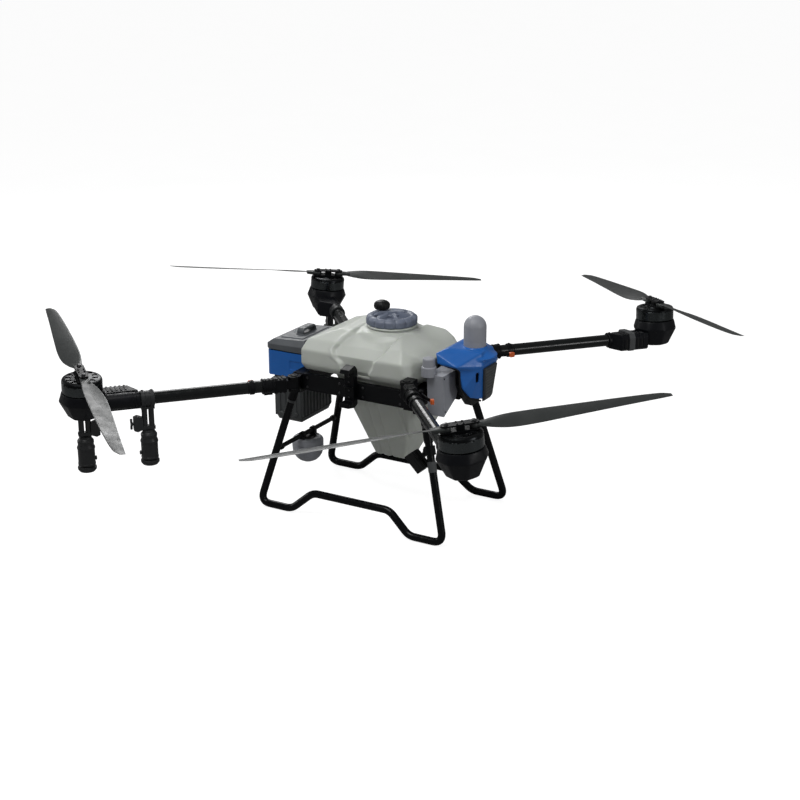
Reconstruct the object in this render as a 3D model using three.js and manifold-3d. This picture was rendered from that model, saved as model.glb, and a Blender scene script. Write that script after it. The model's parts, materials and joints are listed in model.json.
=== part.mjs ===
// Agricultural spray drone: a quad rotor with folding arms, a lift-out tank and battery.
// Units are millimetres. +X is the nose, +Y the left side, +Z up.
// The origin is on the ground, under the middle of the airframe.

import * as THREE from 'three';
import { ConvexGeometry } from 'three/addons/geometries/ConvexGeometry.js';
import { mergeVertices } from 'three/addons/utils/BufferGeometryUtils.js';
import Module from 'manifold-3d';

const wasm = await Module();
wasm.setup();

// ---------------------------------------------------------------- driving dimensions

const GAP = 0.3; // what touching pieces keep between them

const MOTOR_X = 680; // motor axes, measured from the middle
const MOTOR_Y = 733;
const HINGE_X = 215; // arm fold pins, measured from the middle
const HINGE_Y = 215;
const ARM_Z = { front: 515.5, rear: 464 }; // tube centre lines
const CAN_TOP = { front: 625, rear: 556 }; // top faces of the motors
const ROTOR_TILT = 5; // degrees, about the arm

const TUBE_R = 20.2;
const TUBE_WALL = 2.6;
const SOCKET_R = TUBE_R + 0.9; // clears the tube's flats as well as its corners
const KNUCKLE_END = 112; // how far the clamp sleeve reaches along the arm
const POD_INSET = 64; // tube end, measured from the motor axis

const CAN_R = 65;
const CAN_HEIGHT = 46;
const BOWL_R = 75;
const BOWL_HEIGHT = 88;
// The speed controller's box: its ends are measured in from the motor axis.
const SPEED_BOX = { root: 178, outer: 150, out: 52, width: 66, low: -26, high: 32 };

const BLADE_PIVOT = 40; // blade bolts, measured from the rotor axis
const ROTOR_R = 616;
const BLADE_LENGTH = ROTOR_R - BLADE_PIVOT;
const BLADE_PLANE = 12; // above the motor's top face
const BLADE_ROOT_THICK = 13;

const RAIL_Y = 181;
const RAIL_WIDTH = 22;
const RAIL_HEIGHT = 56;
const RAIL_Z = 467;
const BEAM_DEPTH = 40; // cross members, along X
const BEAM_HALF_SPAN = 191;

const NOZZLE_LOW = -204; // foot of a nozzle's body, from the tube's centre line
const NOZZLE_INSET = { outer: -1, inner: 204 }; // from the motor axis

const LUG_R = 22; // fold hinge lugs
const LUG_OUTER = 27; // half the height over both lugs
const LUG_INNER = 15; // half the slot between them
const PIN_R = 8;

const SKID_R = 13;
const SKID_BENDS = [40, 22, 22, 22, 22, 40]; // how far each bend starts before its corner
const SKID_Y_GROUND = 228; // the skid's plane leans in towards the top
const SKID_LEAN = 0.1622;

const NECK_X = 36; // tank filler neck
const CAP_R = 84;
const DOME_X = 347;

// ---------------------------------------------------------------- solids

const V = (x, y, z) => new THREE.Vector3(x, y, z);
const rad = THREE.MathUtils.degToRad;

function toSolid(geometry) {
  const bare = geometry.clone();
  for (const name of Object.keys(bare.attributes)) {
    if (name !== 'position') bare.deleteAttribute(name);
  }
  const merged = mergeVertices(bare, 1e-3);
  return new wasm.Manifold(new wasm.Mesh({
    numProp: 3,
    vertProperties: new Float32Array(merged.attributes.position.array),
    triVerts: new Uint32Array(merged.index.array),
  }));
}

function toGeometry(solid) {
  const mesh = solid.getMesh();
  const geometry = new THREE.BufferGeometry();
  geometry.setAttribute('position', new THREE.BufferAttribute(mesh.vertProperties, 3));
  geometry.setIndex(new THREE.BufferAttribute(mesh.triVerts, 1));
  return geometry;
}

const join = (...pieces) => toGeometry(pieces.map(toSolid).reduce((a, b) => a.add(b)));
const cut = (body, ...tools) => toGeometry(tools.map(toSolid).reduce((a, b) => a.subtract(b), toSolid(body)));

// A copy reflected in the plane Y = 0, with its faces still pointing out.
function mirrorY(geometry) {
  const copy = mergeVertices(geometry.index ? geometry.clone() : dropNormals(geometry), 1e-3);
  copy.scale(1, -1, 1);
  const index = copy.index.array;
  for (let i = 0; i < index.length; i += 3) [index[i], index[i + 1]] = [index[i + 1], index[i]];
  return copy;
}

function dropNormals(geometry) {
  const copy = geometry.clone();
  copy.deleteAttribute('normal');
  copy.deleteAttribute('uv');
  return copy;
}

// A box from its lowest to its highest corner.
function block(x0, x1, y0, y1, z0, z1) {
  const box = new THREE.BoxGeometry(x1 - x0, y1 - y0, z1 - z0);
  return box.translate((x0 + x1) / 2, (y0 + y1) / 2, (z0 + z1) / 2);
}

// An upright cylinder from z0 to z1.
function post(radius, z0, z1, x = 0, y = 0, sides = 14) {
  const rod = new THREE.CylinderGeometry(radius, radius, z1 - z0, sides);
  return rod.rotateX(Math.PI / 2).translate(x, y, (z0 + z1) / 2);
}

// A cylinder that lies along X.
function rodX(radius, x0, x1, y = 0, z = 0, sides = 20) {
  const rod = new THREE.CylinderGeometry(radius, radius, x1 - x0, sides);
  return rod.rotateZ(Math.PI / 2).translate((x0 + x1) / 2, y, z);
}

// A cylinder between two points.
function rodBetween(a, b, radius, sides = 12) {
  const rod = new THREE.CylinderGeometry(radius, radius, a.distanceTo(b), sides);
  const turn = new THREE.Quaternion().setFromUnitVectors(V(0, 1, 0), b.clone().sub(a).normalize());
  return rod.applyQuaternion(turn).translate((a.x + b.x) / 2, (a.y + b.y) / 2, (a.z + b.z) / 2);
}

// A turned solid about Z from [radius, z] pairs, lowest first.
function turned(profile, sides = 16) {
  const lathe = new THREE.LatheGeometry(profile.map(([r, z]) => new THREE.Vector2(r, z)), sides);
  return dropNormals(lathe).rotateX(Math.PI / 2);
}

const hull = (points) => new ConvexGeometry(points);

// The convex solid over points given for one side and repeated on the other.
const hullBothSides = (points) => hull(points.flatMap(([x, y, z]) => [V(x, y, z), V(x, -y, z)]));

// A plate cut from an outline in Y and Z, between two values of X.
function plateYZ(shape, x0, x1) {
  const plate = new THREE.ExtrudeGeometry(shape, { depth: x1 - x0, bevelEnabled: false, curveSegments: 8 });
  return plate.rotateX(Math.PI / 2).rotateZ(Math.PI / 2).translate(x0, 0, 0);
}

// A path of straight runs and round bends. Its stops are uneven, so a straight run is one step.
class BentPath extends THREE.Curve {
  constructor(corners, bends, stepsPerBend = 4) {
    super();
    this.stops = [corners[0]];
    for (let i = 1; i < corners.length - 1; i++) {
      const before = corners[i - 1].clone().sub(corners[i]).normalize();
      const after = corners[i + 1].clone().sub(corners[i]).normalize();
      const start = corners[i].clone().addScaledVector(before, bends[i - 1]);
      const end = corners[i].clone().addScaledVector(after, bends[i - 1]);
      const arc = new THREE.QuadraticBezierCurve3(start, corners[i], end);
      this.stops.push(...arc.getPoints(stepsPerBend));
    }
    this.stops.push(corners[corners.length - 1]);
  }

  stopAt(u) {
    return Math.round(u * (this.stops.length - 1));
  }

  getPoint(u) {
    return this.stops[this.stopAt(u)].clone();
  }

  getPointAt(u) {
    return this.getPoint(u);
  }

  getTangentAt(u) {
    const i = this.stopAt(u);
    const here = this.stops[i];
    const tangent = V(0, 0, 0);
    if (i > 0) tangent.add(here.clone().sub(this.stops[i - 1]).normalize());
    if (i < this.stops.length - 1) tangent.add(this.stops[i + 1].clone().sub(here).normalize());
    return tangent.normalize();
  }
}

// A round bar along a bent path.
function bentBar(corners, radius, bends, halfSides = 5) {
  const path = new BentPath(corners, bends);
  const ring = new THREE.Shape();
  ring.absarc(0, 0, radius, 0, 2 * Math.PI);
  return new THREE.ExtrudeGeometry(ring, {
    extrudePath: path,
    steps: path.stops.length - 1,
    curveSegments: halfSides,
  });
}

// ---------------------------------------------------------------- colours

const COLOURS = {
  frame: [0x101216, 0.5, 0.3],
  carbon: [0x16181a, 0.4, 0.1],
  tank: [0xb4bab0, 0.55, 0.0],
  blue: [0x2662ac, 0.35, 0.0],
  grey: [0x82848c, 0.5, 0.0],
  capGrey: [0x5f6676, 0.5, 0.0],
  batteryLid: [0x4b5054, 0.5, 0.0],
  batteryCase: [0x2d3032, 0.55, 0.0],
  pod: [0x14171b, 0.5, 0.1],
  can: [0x33383a, 0.3, 0.8],
  blade: [0x2d3030, 0.35, 0.1],
  nozzle: [0x1d1f20, 0.5, 0.0],
  lever: [0xc85a1e, 0.5, 0.0],
};

const drone = new THREE.Group();

function add(name, geometry, colour, parent = drone) {
  const [hex, roughness, metalness] = COLOURS[colour];
  const mesh = new THREE.Mesh(geometry, new THREE.MeshStandardMaterial({ color: hex, roughness, metalness }));
  mesh.name = name;
  parent.add(mesh);
  return mesh;
}

// ---------------------------------------------------------------- airframe

// A square tube along X, open at both ends.
function rail(y) {
  const halfWidth = RAIL_WIDTH / 2;
  const halfHeight = RAIL_HEIGHT / 2;
  const length = 2 * (HINGE_X - BEAM_DEPTH / 2 - GAP);
  const wall = 2.5;
  const outer = block(-length / 2, length / 2, -halfWidth, halfWidth, -halfHeight, halfHeight);
  const [boreWidth, boreHeight] = [halfWidth - wall, halfHeight - wall];
  const inner = block(-length, length, -boreWidth, boreWidth, -boreHeight, boreHeight);
  return cut(outer, inner).translate(0, y, RAIL_Z);
}

// One cross member with a fold hinge fork at each end. side is 1 at the front and -1 at the rear.
function crossMember(side, armZ) {
  const x = side * HINGE_X;
  const low = RAIL_Z - RAIL_HEIGHT / 2;
  const high = RAIL_Z + RAIL_HEIGHT / 2 - 1;
  const half = BEAM_DEPTH / 2;
  const pieces = [block(x - half, x + half, -BEAM_HALF_SPAN, BEAM_HALF_SPAN, low, high)];
  const pockets = [];
  for (const y of [-1, 1]) {
    const webEnd = HINGE_Y - 12;
    const top = armZ + LUG_OUTER;
    const [y0, y1] = [y * (BEAM_HALF_SPAN - 14), y * webEnd].sort((a, b) => a - b);
    pieces.push(block(x - LUG_R + 3, x + LUG_R - 3, y0, y1, low, top));
    pieces.push(post(LUG_R, armZ - LUG_OUTER, top, x, y * HINGE_Y, 16));
    pockets.push(post(LUG_R + 4, armZ - LUG_INNER, armZ + LUG_INNER, x, y * HINGE_Y, 16));
  }
  const body = cut(join(...pieces), ...pockets);
  const pins = [-1, 1].map((y) => post(PIN_R, armZ - LUG_OUTER - 2, armZ + LUG_OUTER + 3, x, y * HINGE_Y, 16));
  return join(body, ...pins);
}

const CLIP_X = [-18, 18];
// The plate half way along a rail, with two seats that hold the folded arms.
function armClip(side) {
  const inner = RAIL_Y + RAIL_WIDTH / 2 + GAP;
  const outline = new THREE.Shape([
    [inner, 424], [inner + 18, 416], [inner + 58, 424], [inner + 58, 440], [inner + 26, 440],
    [inner + 26, 488], [inner + 40, 490], [inner + 26, 493], [inner + 26, 538], [inner + 56, 539],
    [inner + 50, 552], [inner + 14, 560], [inner, 545],
  ].map(([y, z]) => new THREE.Vector2(y, z)));
  const plate = plateYZ(outline, CLIP_X[0], CLIP_X[1]);
  return side > 0 ? plate : mirrorY(plate);
}

// The skid's Y at a height: its plane leans in.
const skidY = (z) => SKID_Y_GROUND - SKID_LEAN * z;

const LEG_TOP = { x: 249, z: 425 };
const LEG_FOOT_X = 358.3;
const legX = (z) => LEG_FOOT_X - (LEG_FOOT_X - LEG_TOP.x) * (z - SKID_R) / (LEG_TOP.z - SKID_R);

function skid(side) {
  const half = [
    [LEG_TOP.x, LEG_TOP.z], [LEG_FOOT_X, SKID_R], [230, SKID_R], [150, 82],
  ];
  const whole = [...half, ...half.map(([x, z]) => [-x, z]).reverse()];
  const corners = whole.map(([x, z]) => V(x, side * skidY(z), z));
  const bar = bentBar(corners, SKID_R, SKID_BENDS);
  const bosses = [-1, 1].map((end) => rodBetween(
    V(end * legX(386), side * skidY(386), 386),
    V(end * LEG_TOP.x, side * skidY(LEG_TOP.z), LEG_TOP.z),
    SKID_R + 3,
  ));
  const cap = block(-400, 400, -300, 300, RAIL_Z - RAIL_HEIGHT / 2 - GAP, 600);
  const tops = [-1, 1].map((end) => block(
    end * 232 - 15, end * 232 + 16, side * 160 - 16, side * 160 + 16, 418, 450,
  ));
  return cut(join(bar, ...bosses, ...tops), cap);
}

// The bar between the rear legs, with the clamps that hold it.
const RADAR_Z = 206;
function radarCrossbar() {
  const x = -legX(RADAR_Z);
  const reach = skidY(RADAR_Z) - SKID_R - 3;
  const bar = rodBetween(V(x, -reach, RADAR_Z), V(x, reach, RADAR_Z), 8, 12);
  const hangers = [-34, 34].map((y) => block(x - 12, x + 12, y - 9, y + 9, RADAR_Z - 14, RADAR_Z + 12));
  return join(bar, ...hangers);
}

function terrainRadar() {
  const x = -legX(RADAR_Z);
  const top = RADAR_Z - 14 - GAP;
  return turned([[0, top - 92], [20, top - 90], [38, top - 80], [50, top - 60], [55, top - 36],
    [55, top - 14], [46, top], [0, top]]).translate(x, 0, 0);
}

// ---------------------------------------------------------------- nose and tail

const PANEL_POINTS = [
  [400, 44, 566], [409, 42, 563], [402, 24, 462], [395, 22, 449], [386, 19, 444], [392, 24, 470],
];

function noseShell() {
  const hood = hullBothSides([
    [268, 122, 618], [277, 128, 586], [290, 78, 629], [392, 40, 618],
    [345, 126, 583], [404, 54, 575], [345, 110, 566], [396, 60, 560],
  ]);
  const fairing = hullBothSides([
    [345, 110, 570], [402, 54, 574], [362, 106, 507], [376, 80, 470], [390, 22, 452], [350, 96, 500],
  ]);
  const hoodRoom = hullBothSides([
    [240, 112, 612], [240, 119, 560], [290, 70, 623], [385, 34, 612],
    [342, 116, 577], [396, 46, 572], [342, 100, 540], [380, 60, 540],
  ]);
  const fairingRoom = hullBothSides([
    [330, 100, 572], [395, 46, 572], [354, 98, 510], [368, 74, 478], [382, 18, 440], [300, 84, 440],
  ]);
  const pedestal = turned([[0, 600], [58, 600], [44, 622], [0, 622]]).translate(DOME_X, 0, 0);
  const pedestalRoom = turned([[0, 590], [50, 590], [38, 616], [0, 616]]).translate(DOME_X, 0, 0);
  const domeSeat = post(42, 622, 700, DOME_X, 0);
  const room = 0.6;
  const panelSeat = hullBothSides(PANEL_POINTS.map(([x, y, z]) => (
    [x - room, y + room, z + (z > 500 ? room : -room)]
  )));
  return cut(join(hood, fairing, pedestal), hoodRoom, fairingRoom, pedestalRoom, domeSeat, panelSeat);
}

// The black case under the nose shell: flight controller, receiver and front radar.
function avionicsCase() {
  return join(
    hullBothSides([
      [311, 64, 571], [311, 64, 500], [335, 84, 570], [342, 86, 520],
      [346, 84, 506], [350, 66, 472], [352, 24, 425], [324, 22, 425], [311, 48, 470],
    ]),
    block(HINGE_X + BEAM_DEPTH / 2 + GAP, 315, -44, 44, 445, 566),
  );
}

// The dark panel that closes the nose, with the forward radar behind it.
function nosePanel() {
  return hullBothSides(PANEL_POINTS);
}

function antennaDome() {
  const base = 622 + GAP;
  const r = 37;
  const profile = [[0, base], [40, base], [40, base + 6], [r, base + 16]];
  const centre = base + 66;
  for (let i = 0; i <= 6; i++) {
    const turn = (i / 6) * Math.PI / 2;
    profile.push([Math.max(0, r * Math.cos(turn)), centre + r * Math.sin(turn)]);
  }
  profile[profile.length - 1][0] = 0;
  return turned(profile).translate(DOME_X, 0, 0);
}

// The spray pump with its pressure cap, beside the nose.
function pump() {
  const low = 412;
  const [x0, x1, y0, y1, high] = [250, 309, -146, -46, 552];
  const body = hull([
    V(x0, y0, high), V(x1, y0, high), V(x0, y1, high), V(x1, y1, high),
    V(x0, y0 + 10, low), V(x1, y0 + 10, low), V(x0, y1, low + 48), V(x1, y1, low + 48),
  ]);
  const cap = { x: 254, y: -140, r: 25, z: 545, step: 578, top: 606 };
  const collar = post(cap.r, cap.z, cap.step, cap.x, cap.y, 16);
  const knob = post(cap.r - 5, cap.step - 4, cap.top, cap.x, cap.y, 16);
  return join(body, collar, knob);
}

// Battery bay collar. The battery drops through it.
const BATTERY = { x0: -375, x1: -266, y: 98, low: 274, top: 530, footReach: 9 };
function tailShell() {
  const outer = hullBothSides([
    [-393, 104, 440], [-393, 104, 528], [-382, 114, 440], [-382, 114, 528],
    [-240, 114, 446], [-240, 114, 528],
  ]);
  const bayHalf = BATTERY.y + BATTERY.footReach + 2;
  const bay = block(BATTERY.x0 - 2, BATTERY.x1 + 2, -bayHalf, bayHalf, 400, 600);
  const foot = block(-248, -HINGE_X - BEAM_DEPTH / 2 - GAP, -80, 80, 445, 490);
  return cut(join(outer, foot), bay);
}

// ---------------------------------------------------------------- battery

function batteryCase() {
  const { x0, x1, y, low, top, footReach } = BATTERY;
  const body = block(x0, x1, -y, y, low + 12, top);
  const base = hullBothSides([
    [x0, y - 8, low + 14], [x1, y - 8, low + 14], [x0 + 8, y, low + 14], [x1 - 8, y, low + 14],
    [x0 + 8, y - 12, low], [x1 - 8, y - 12, low],
  ]);
  const ribs = [];
  for (let i = -4; i <= 4; i++) ribs.push(block(x1 - 3, x1 + 1, i * 20 - 4, i * 20 + 4, low + 30, 425));
  const feet = [-1, 1].map((s) => rodBetween(
    V(x0 + 30, s * (y - 4), low + 24), V(x0 + 30, s * (y + footReach), low + 24), 11, 12,
  ));
  return join(cut(body, ...ribs), base, ...feet);
}

const LID_GRIP = { half: 42, thick: 9, rise: 67 };
function batteryLid() {
  const { top } = BATTERY;
  const lid = hullBothSides([
    [-395, 106, top + GAP], [-395, 106, top + 20], [-383, 116, top + GAP], [-383, 116, top + 20],
    [-236, 116, top + GAP], [-236, 116, top + 24], [-373, 100, top + 36], [-250, 100, top + 44],
  ]);
  const { half, thick, rise } = LID_GRIP;
  const bar = block(-318, -288, -half, half, top + rise - thick, top + rise);
  const legs = [-1, 1].map((s) => {
    const [y0, y1] = [s * (half - thick), s * half].sort((a, b) => a - b);
    return block(-318, -288, y0, y1, top + 30, top + rise - thick / 2);
  });
  return join(lid, bar, ...legs);
}

// ---------------------------------------------------------------- tank

function tank() {
  const upper = hullBothSides([
    [-196, 174, 505], [180, 172, 505], [-208, 184, 526], [176, 182, 526],
    [-208, 184, 576], [160, 184, 578], [-199, 157, 606], [148, 150, 614],
    [228, 118, 526], [228, 112, 582], [212, 118, 590], [236, 60, 580], [224, 100, 508],
    [-110, 92, 640], [120, 92, 640],
  ]);
  const sump = hullBothSides([
    [-92, 160, 512], [188, 160, 512], [-14, 150, 402], [186, 144, 420], [-8, 100, 330],
    [180, 90, 345], [2, 50, 200], [113, 50, 200],
  ]);
  const neck = turned([[0, 630], [80, 630], [80, 652], [72, 652], [72, 672], [0, 672]], 32);
  const drain = post(16, 186, 202, 58, 0, 16);
  return join(upper, sump, neck.translate(NECK_X, 0, 0), drain);
}

// Screw cap with grip lugs round its rim and a raised turning bar.
const CAP_LOW = 656;
function tankCap() {
  const low = CAP_LOW;
  const skirt = turned([[74, low], [CAP_R, low], [CAP_R, low + 22], [70, low + 34], [0, low + 34],
    [0, low + 16 + GAP], [74, low + 16 + GAP], [74, low]], 32);
  const lugs = [];
  for (let i = 0; i < 12; i++) {
    const lug = block(CAP_R - 6, CAP_R + 3, -7, 7, low + 2, low + 20);
    lugs.push(lug.rotateZ(i * Math.PI / 6));
  }
  const bars = [0, 1].map((i) => block(-62, 62, -6, 6, low + 30, low + 42).rotateZ(i * Math.PI / 2 + 0.5));
  return join(skirt, ...lugs, ...bars).translate(NECK_X, 0, 0);
}

const BREATHER_X = NECK_X - 38;
function breatherKnob() {
  const low = CAP_LOW + 42 + GAP;
  return turned([[0, low], [24, low], [28, low + 8], [26, low + 18], [19, low + 28], [0, low + 30]], 16)
    .translate(BREATHER_X, 0, 0);
}

// ---------------------------------------------------------------- work lamp

// The lamp hangs in a fork under a ring clamp on the right front leg, and tilts about Y.
const LAMP = { x: 236, z: 262, tilt: 45, earHeight: 27, earR: 6, earHalf: 4, clampRise: 44 };
const LAMP_PIVOT = {
  x: LAMP.x + LAMP.earHeight * Math.sin(rad(LAMP.tilt)),
  z: LAMP.z + LAMP.earHeight * Math.cos(rad(LAMP.tilt)),
};

// A stretch of the skid's leg, centred on a height.
function legStretch(side, z, half) {
  const at = (height) => V(legX(height), side * skidY(height), height);
  return [at(z - half), at(z + half)];
}

// A cylinder along Y.
function rodY(radius, y0, y1, x, z, sides = 12) {
  return rodBetween(V(x, y0, z), V(x, y1, z), radius, sides);
}

function lampBracket(side) {
  const z = LAMP.z + LAMP.clampRise;
  const ringR = SKID_R + 6;
  const cheek = 5;
  const y = side * skidY(z);
  const ring = rodBetween(...legStretch(side, z, 14), ringR, 16);
  const reach = legX(z) - ringR + 6;
  const cheeks = [-1, 1].map((s) => {
    const yIn = y + s * (LAMP.earHalf + 0.5);
    const yOut = yIn + s * cheek;
    return hull([yIn, yOut].flatMap((at) => [
      V(reach, at, z - 9), V(reach, at, z + 9), V(LAMP_PIVOT.x - 6, at, LAMP_PIVOT.z + 3),
      V(LAMP_PIVOT.x - 2, at, LAMP_PIVOT.z - 6), V(LAMP_PIVOT.x + 6, at, LAMP_PIVOT.z - 3),
    ]));
  });
  const web = block(reach - 8, reach + 4, y - 9, y + 9, z - 6, z + 6);
  return cut(join(ring, web, ...cheeks), rodBetween(...legStretch(side, z, 40), SKID_R + 0.5, 16));
}

function lamp(side) {
  const { earHeight, earR, earHalf } = LAMP;
  const fins = [-24, -14, -4, 6, 16].map((y) => block(-34, 34, y, y + 5, 8, 17));
  const ear = join(block(-earR, earR, -earHalf, earHalf, 9, earHeight), rodY(earR, -earHalf, earHalf, 0, earHeight));
  const whole = join(block(-35, 35, -28, 28, -14, 10), ...fins, ear).rotateY(rad(LAMP.tilt));
  return whole.translate(LAMP.x, side * skidY(LAMP.z + LAMP.clampRise), LAMP.z);
}

// ---------------------------------------------------------------- arms

// restSpin is how far, in degrees, a rotor rests from square to its arm.
const CORNERS = [
  { name: 'front_right', end: 'front', x: 1, y: -1, restSpin: 0 },
  { name: 'front_left', end: 'front', x: 1, y: 1, restSpin: 1.5 },
  { name: 'rear_right', end: 'rear', x: -1, y: -1, restSpin: -2 },
  { name: 'rear_left', end: 'rear', x: -1, y: 1, restSpin: -2 },
];
const ARM_LENGTH = Math.hypot(MOTOR_X - HINGE_X, MOTOR_Y - HINGE_Y);

// In an arm's own frame X runs out from the fold pin, and the lock lever is on the +Y side.
function armKnuckle() {
  const lug = post(LUG_R - 2, GAP - LUG_INNER, LUG_INNER - GAP, 0, 0, 16);
  const neck = block(0, 40, -15, 15, GAP - LUG_INNER, LUG_INNER - GAP);
  const c = 6;
  const fork = hull([30, 72].flatMap((x) => [
    V(x, -20, c - 26), V(x, -20, 26 - c), V(x, 20, c - 26), V(x, 20, 26 - c),
    V(x, c - 20, -26), V(x, c - 20, 26), V(x, 20 - c, -26), V(x, 20 - c, 26),
  ]));
  const grooves = [42, 54].flatMap((x) => (
    [block(x, x + 5, -30, 30, 22, 30), block(x, x + 5, -30, 30, -30, -22)]
  ));
  const sleeve = rodX(24.5, 70, KNUCKLE_END, 0, 0, 16);
  const pinHole = post(PIN_R + 0.5, -40, 40, 0, 0, 16);
  const socket = rodX(SOCKET_R, 76, KNUCKLE_END + 5, 0, 0, 16);
  return cut(join(cut(fork, ...grooves), lug, neck, sleeve), pinHole, socket);
}

function armTube() {
  const start = 76 + GAP;
  const end = ARM_LENGTH - POD_INSET;
  const inner = TUBE_R - TUBE_WALL;
  const collar = { start: 140, end: 152, r: 23.5 };
  const profile = [
    [inner, start], [TUBE_R, start], [TUBE_R, collar.start], [collar.r, collar.start],
    [collar.r, collar.end], [TUBE_R, collar.end], [TUBE_R, end], [inner, end], [inner, start],
  ];
  return turned(profile, 16).rotateY(Math.PI / 2);
}

const LEVER = { x: 62, y: 33, length: 68, flare: 19 };
function lockLever() {
  const { x, y, length, flare } = LEVER;
  const end = y + flare;
  const bar = hull([
    V(x - 8, y - 6, -9), V(x - 8, y + 4, -9), V(x - 8, y - 6, 9), V(x - 8, y + 4, 9),
    V(x + length, end - 4, -6), V(x + length, end + 3, -6), V(x + length, end - 4, 6), V(x + length, end + 3, 6),
  ]);
  const tip = block(x + length - 3, x + length + 16, end - 5, end + 6, -8, 8);
  return join(bar, post(7, -14, 14, x, y - 1, 12), tip);
}

// Parts of the power unit are drawn about the motor axis, with z = 0 on the motor's top face.
function placeOnRotor(geometry, end, restSpin = 0) {
  const rise = CAN_TOP[end] - ARM_Z[end];
  return geometry.rotateZ(rad(restSpin)).rotateX(rad(ROTOR_TILT)).translate(ARM_LENGTH, 0, rise);
}

function ringOfPoints(radius, z, sides, turn = 0) {
  return Array.from({ length: sides }, (_, i) => {
    const a = ((i + turn) / sides) * 2 * Math.PI;
    return V(radius * Math.cos(a), radius * Math.sin(a), z);
  });
}

function motorPod(end) {
  const top = -CAN_HEIGHT - 1;
  const low = -CAN_HEIGHT - BOWL_HEIGHT;
  const bowl = placeOnRotor(hull([
    ...ringOfPoints(BOWL_R - 8, top, 20), ...ringOfPoints(BOWL_R, top - 29, 10),
    ...ringOfPoints(50, low + 5, 10, 0.5), ...ringOfPoints(42, low, 10, 0.5),
  ]), end);
  const clamp = rodX(26, ARM_LENGTH - SPEED_BOX.root - 2, ARM_LENGTH - 30, 0, 0, 16);
  const { width, low: under, high } = SPEED_BOX;
  const [x0, xOuter, x1] = [SPEED_BOX.root, SPEED_BOX.outer, SPEED_BOX.out].map((d) => ARM_LENGTH - d);
  const controller = hull([
    V(x0, 12, under), V(x0, 12, high - 4), V(x1, 12, under), V(x1, 12, high - 4),
    ...[xOuter, x1].flatMap((x) => [
      V(x, width, under + 8), V(x, width, high - 12), V(x, width - 8, high), V(x, width - 8, under),
    ]),
  ]);
  const vents = [0, 1, 2, 3, 4, 5].map((i) => {
    const x = xOuter + 6 + i * 14;
    return block(x, x + 6, width - 5, width + 5, under + 9, high - 14);
  });
  const socket = rodX(SOCKET_R, ARM_LENGTH - 200, ARM_LENGTH - POD_INSET + GAP, 0, 0, 16);
  return cut(join(bowl, clamp, cut(controller, ...vents)), socket);
}

// The motor's spinning bell with the propeller hub bolted on it.
function rotorHub(end, restSpin) {
  const bell = turned([
    [0, -CAN_HEIGHT], [CAN_R - 3, -CAN_HEIGHT], [CAN_R, 3 - CAN_HEIGHT], [CAN_R, -5], [CAN_R - 5, 0], [0, 0],
  ], 24);
  const low = BLADE_PLANE - BLADE_ROOT_THICK / 2 - GAP;
  const high = BLADE_PLANE + BLADE_ROOT_THICK / 2 + GAP;
  const plates = [
    block(-16, 16, -56, 56, -2, low),
    block(-14, 14, -54, 54, high, high + 5),
  ];
  const bolts = [-1, 1].map((y) => post(4, -1, high + 9, 0, y * BLADE_PIVOT, 10));
  return placeOnRotor(join(bell, ...plates, post(11, -1, high + 2, 0, 0, 16), ...bolts), end, restSpin);
}

// A blade along +Y from its bolt at the origin, thick side up, leading edge towards -X.
const BLADE_STATIONS = [
  // share of the length, chord, thickness, pitch in degrees, sweep of the chord's middle
  [0.02, 27, 11, 2, 0], [0.07, 42, 10, 14, 4], [0.16, 62, 8, 18, 8], [0.28, 69, 7, 15, 9],
  [0.5, 62, 6, 11, 6], [0.75, 49, 4.5, 8, 3], [0.95, 34, 3.4, 6, 4], [1, 18, 2.6, 6, 10],
];
function bladeSection(chord, thick) {
  return [
    [-0.5, 0.0], [-0.36, 0.5], [0.05, 0.5], [0.5, 0.02], [0.05, -0.3], [-0.36, -0.4],
  ].map(([x, z]) => [x * chord, z * thick]);
}

function blade(end, s, restSpin) {
  const positions = [];
  const rings = BLADE_STATIONS.map(([share, chord, thick, pitch, sweep]) => bladeSection(chord, thick).map(([x, z]) => {
    const c = Math.cos(rad(pitch));
    const t = Math.sin(rad(pitch));
    return V(x * c - z * t + sweep, share * BLADE_LENGTH, -x * t + z * c);
  }));
  const facet = (a, b, c) => {
    for (const p of [a, b, c]) positions.push(p.x, p.y, p.z);
  };
  const count = rings[0].length;
  for (let k = 0; k + 1 < rings.length; k++) {
    for (let i = 0; i < count; i++) {
      const j = (i + 1) % count;
      facet(rings[k][i], rings[k][j], rings[k + 1][j]);
      facet(rings[k][i], rings[k + 1][j], rings[k + 1][i]);
    }
  }
  for (let i = 1; i + 1 < count; i++) {
    facet(rings[0][0], rings[0][i + 1], rings[0][i]);
    const last = rings[rings.length - 1];
    facet(last[0], last[i], last[i + 1]);
  }
  const skin = new THREE.BufferGeometry();
  skin.setAttribute('position', new THREE.Float32BufferAttribute(positions, 3));
  const half = BLADE_ROOT_THICK / 2;
  const root = join(skin, post(13.5, -half, half, 0, 0, 20));
  const whole = cut(root, post(4.5, -20, 20, 0, 0, 10));
  whole.translate(0, BLADE_PIVOT, BLADE_PLANE);
  if (s < 0) whole.rotateZ(Math.PI);
  return placeOnRotor(whole, end, restSpin);
}

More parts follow.
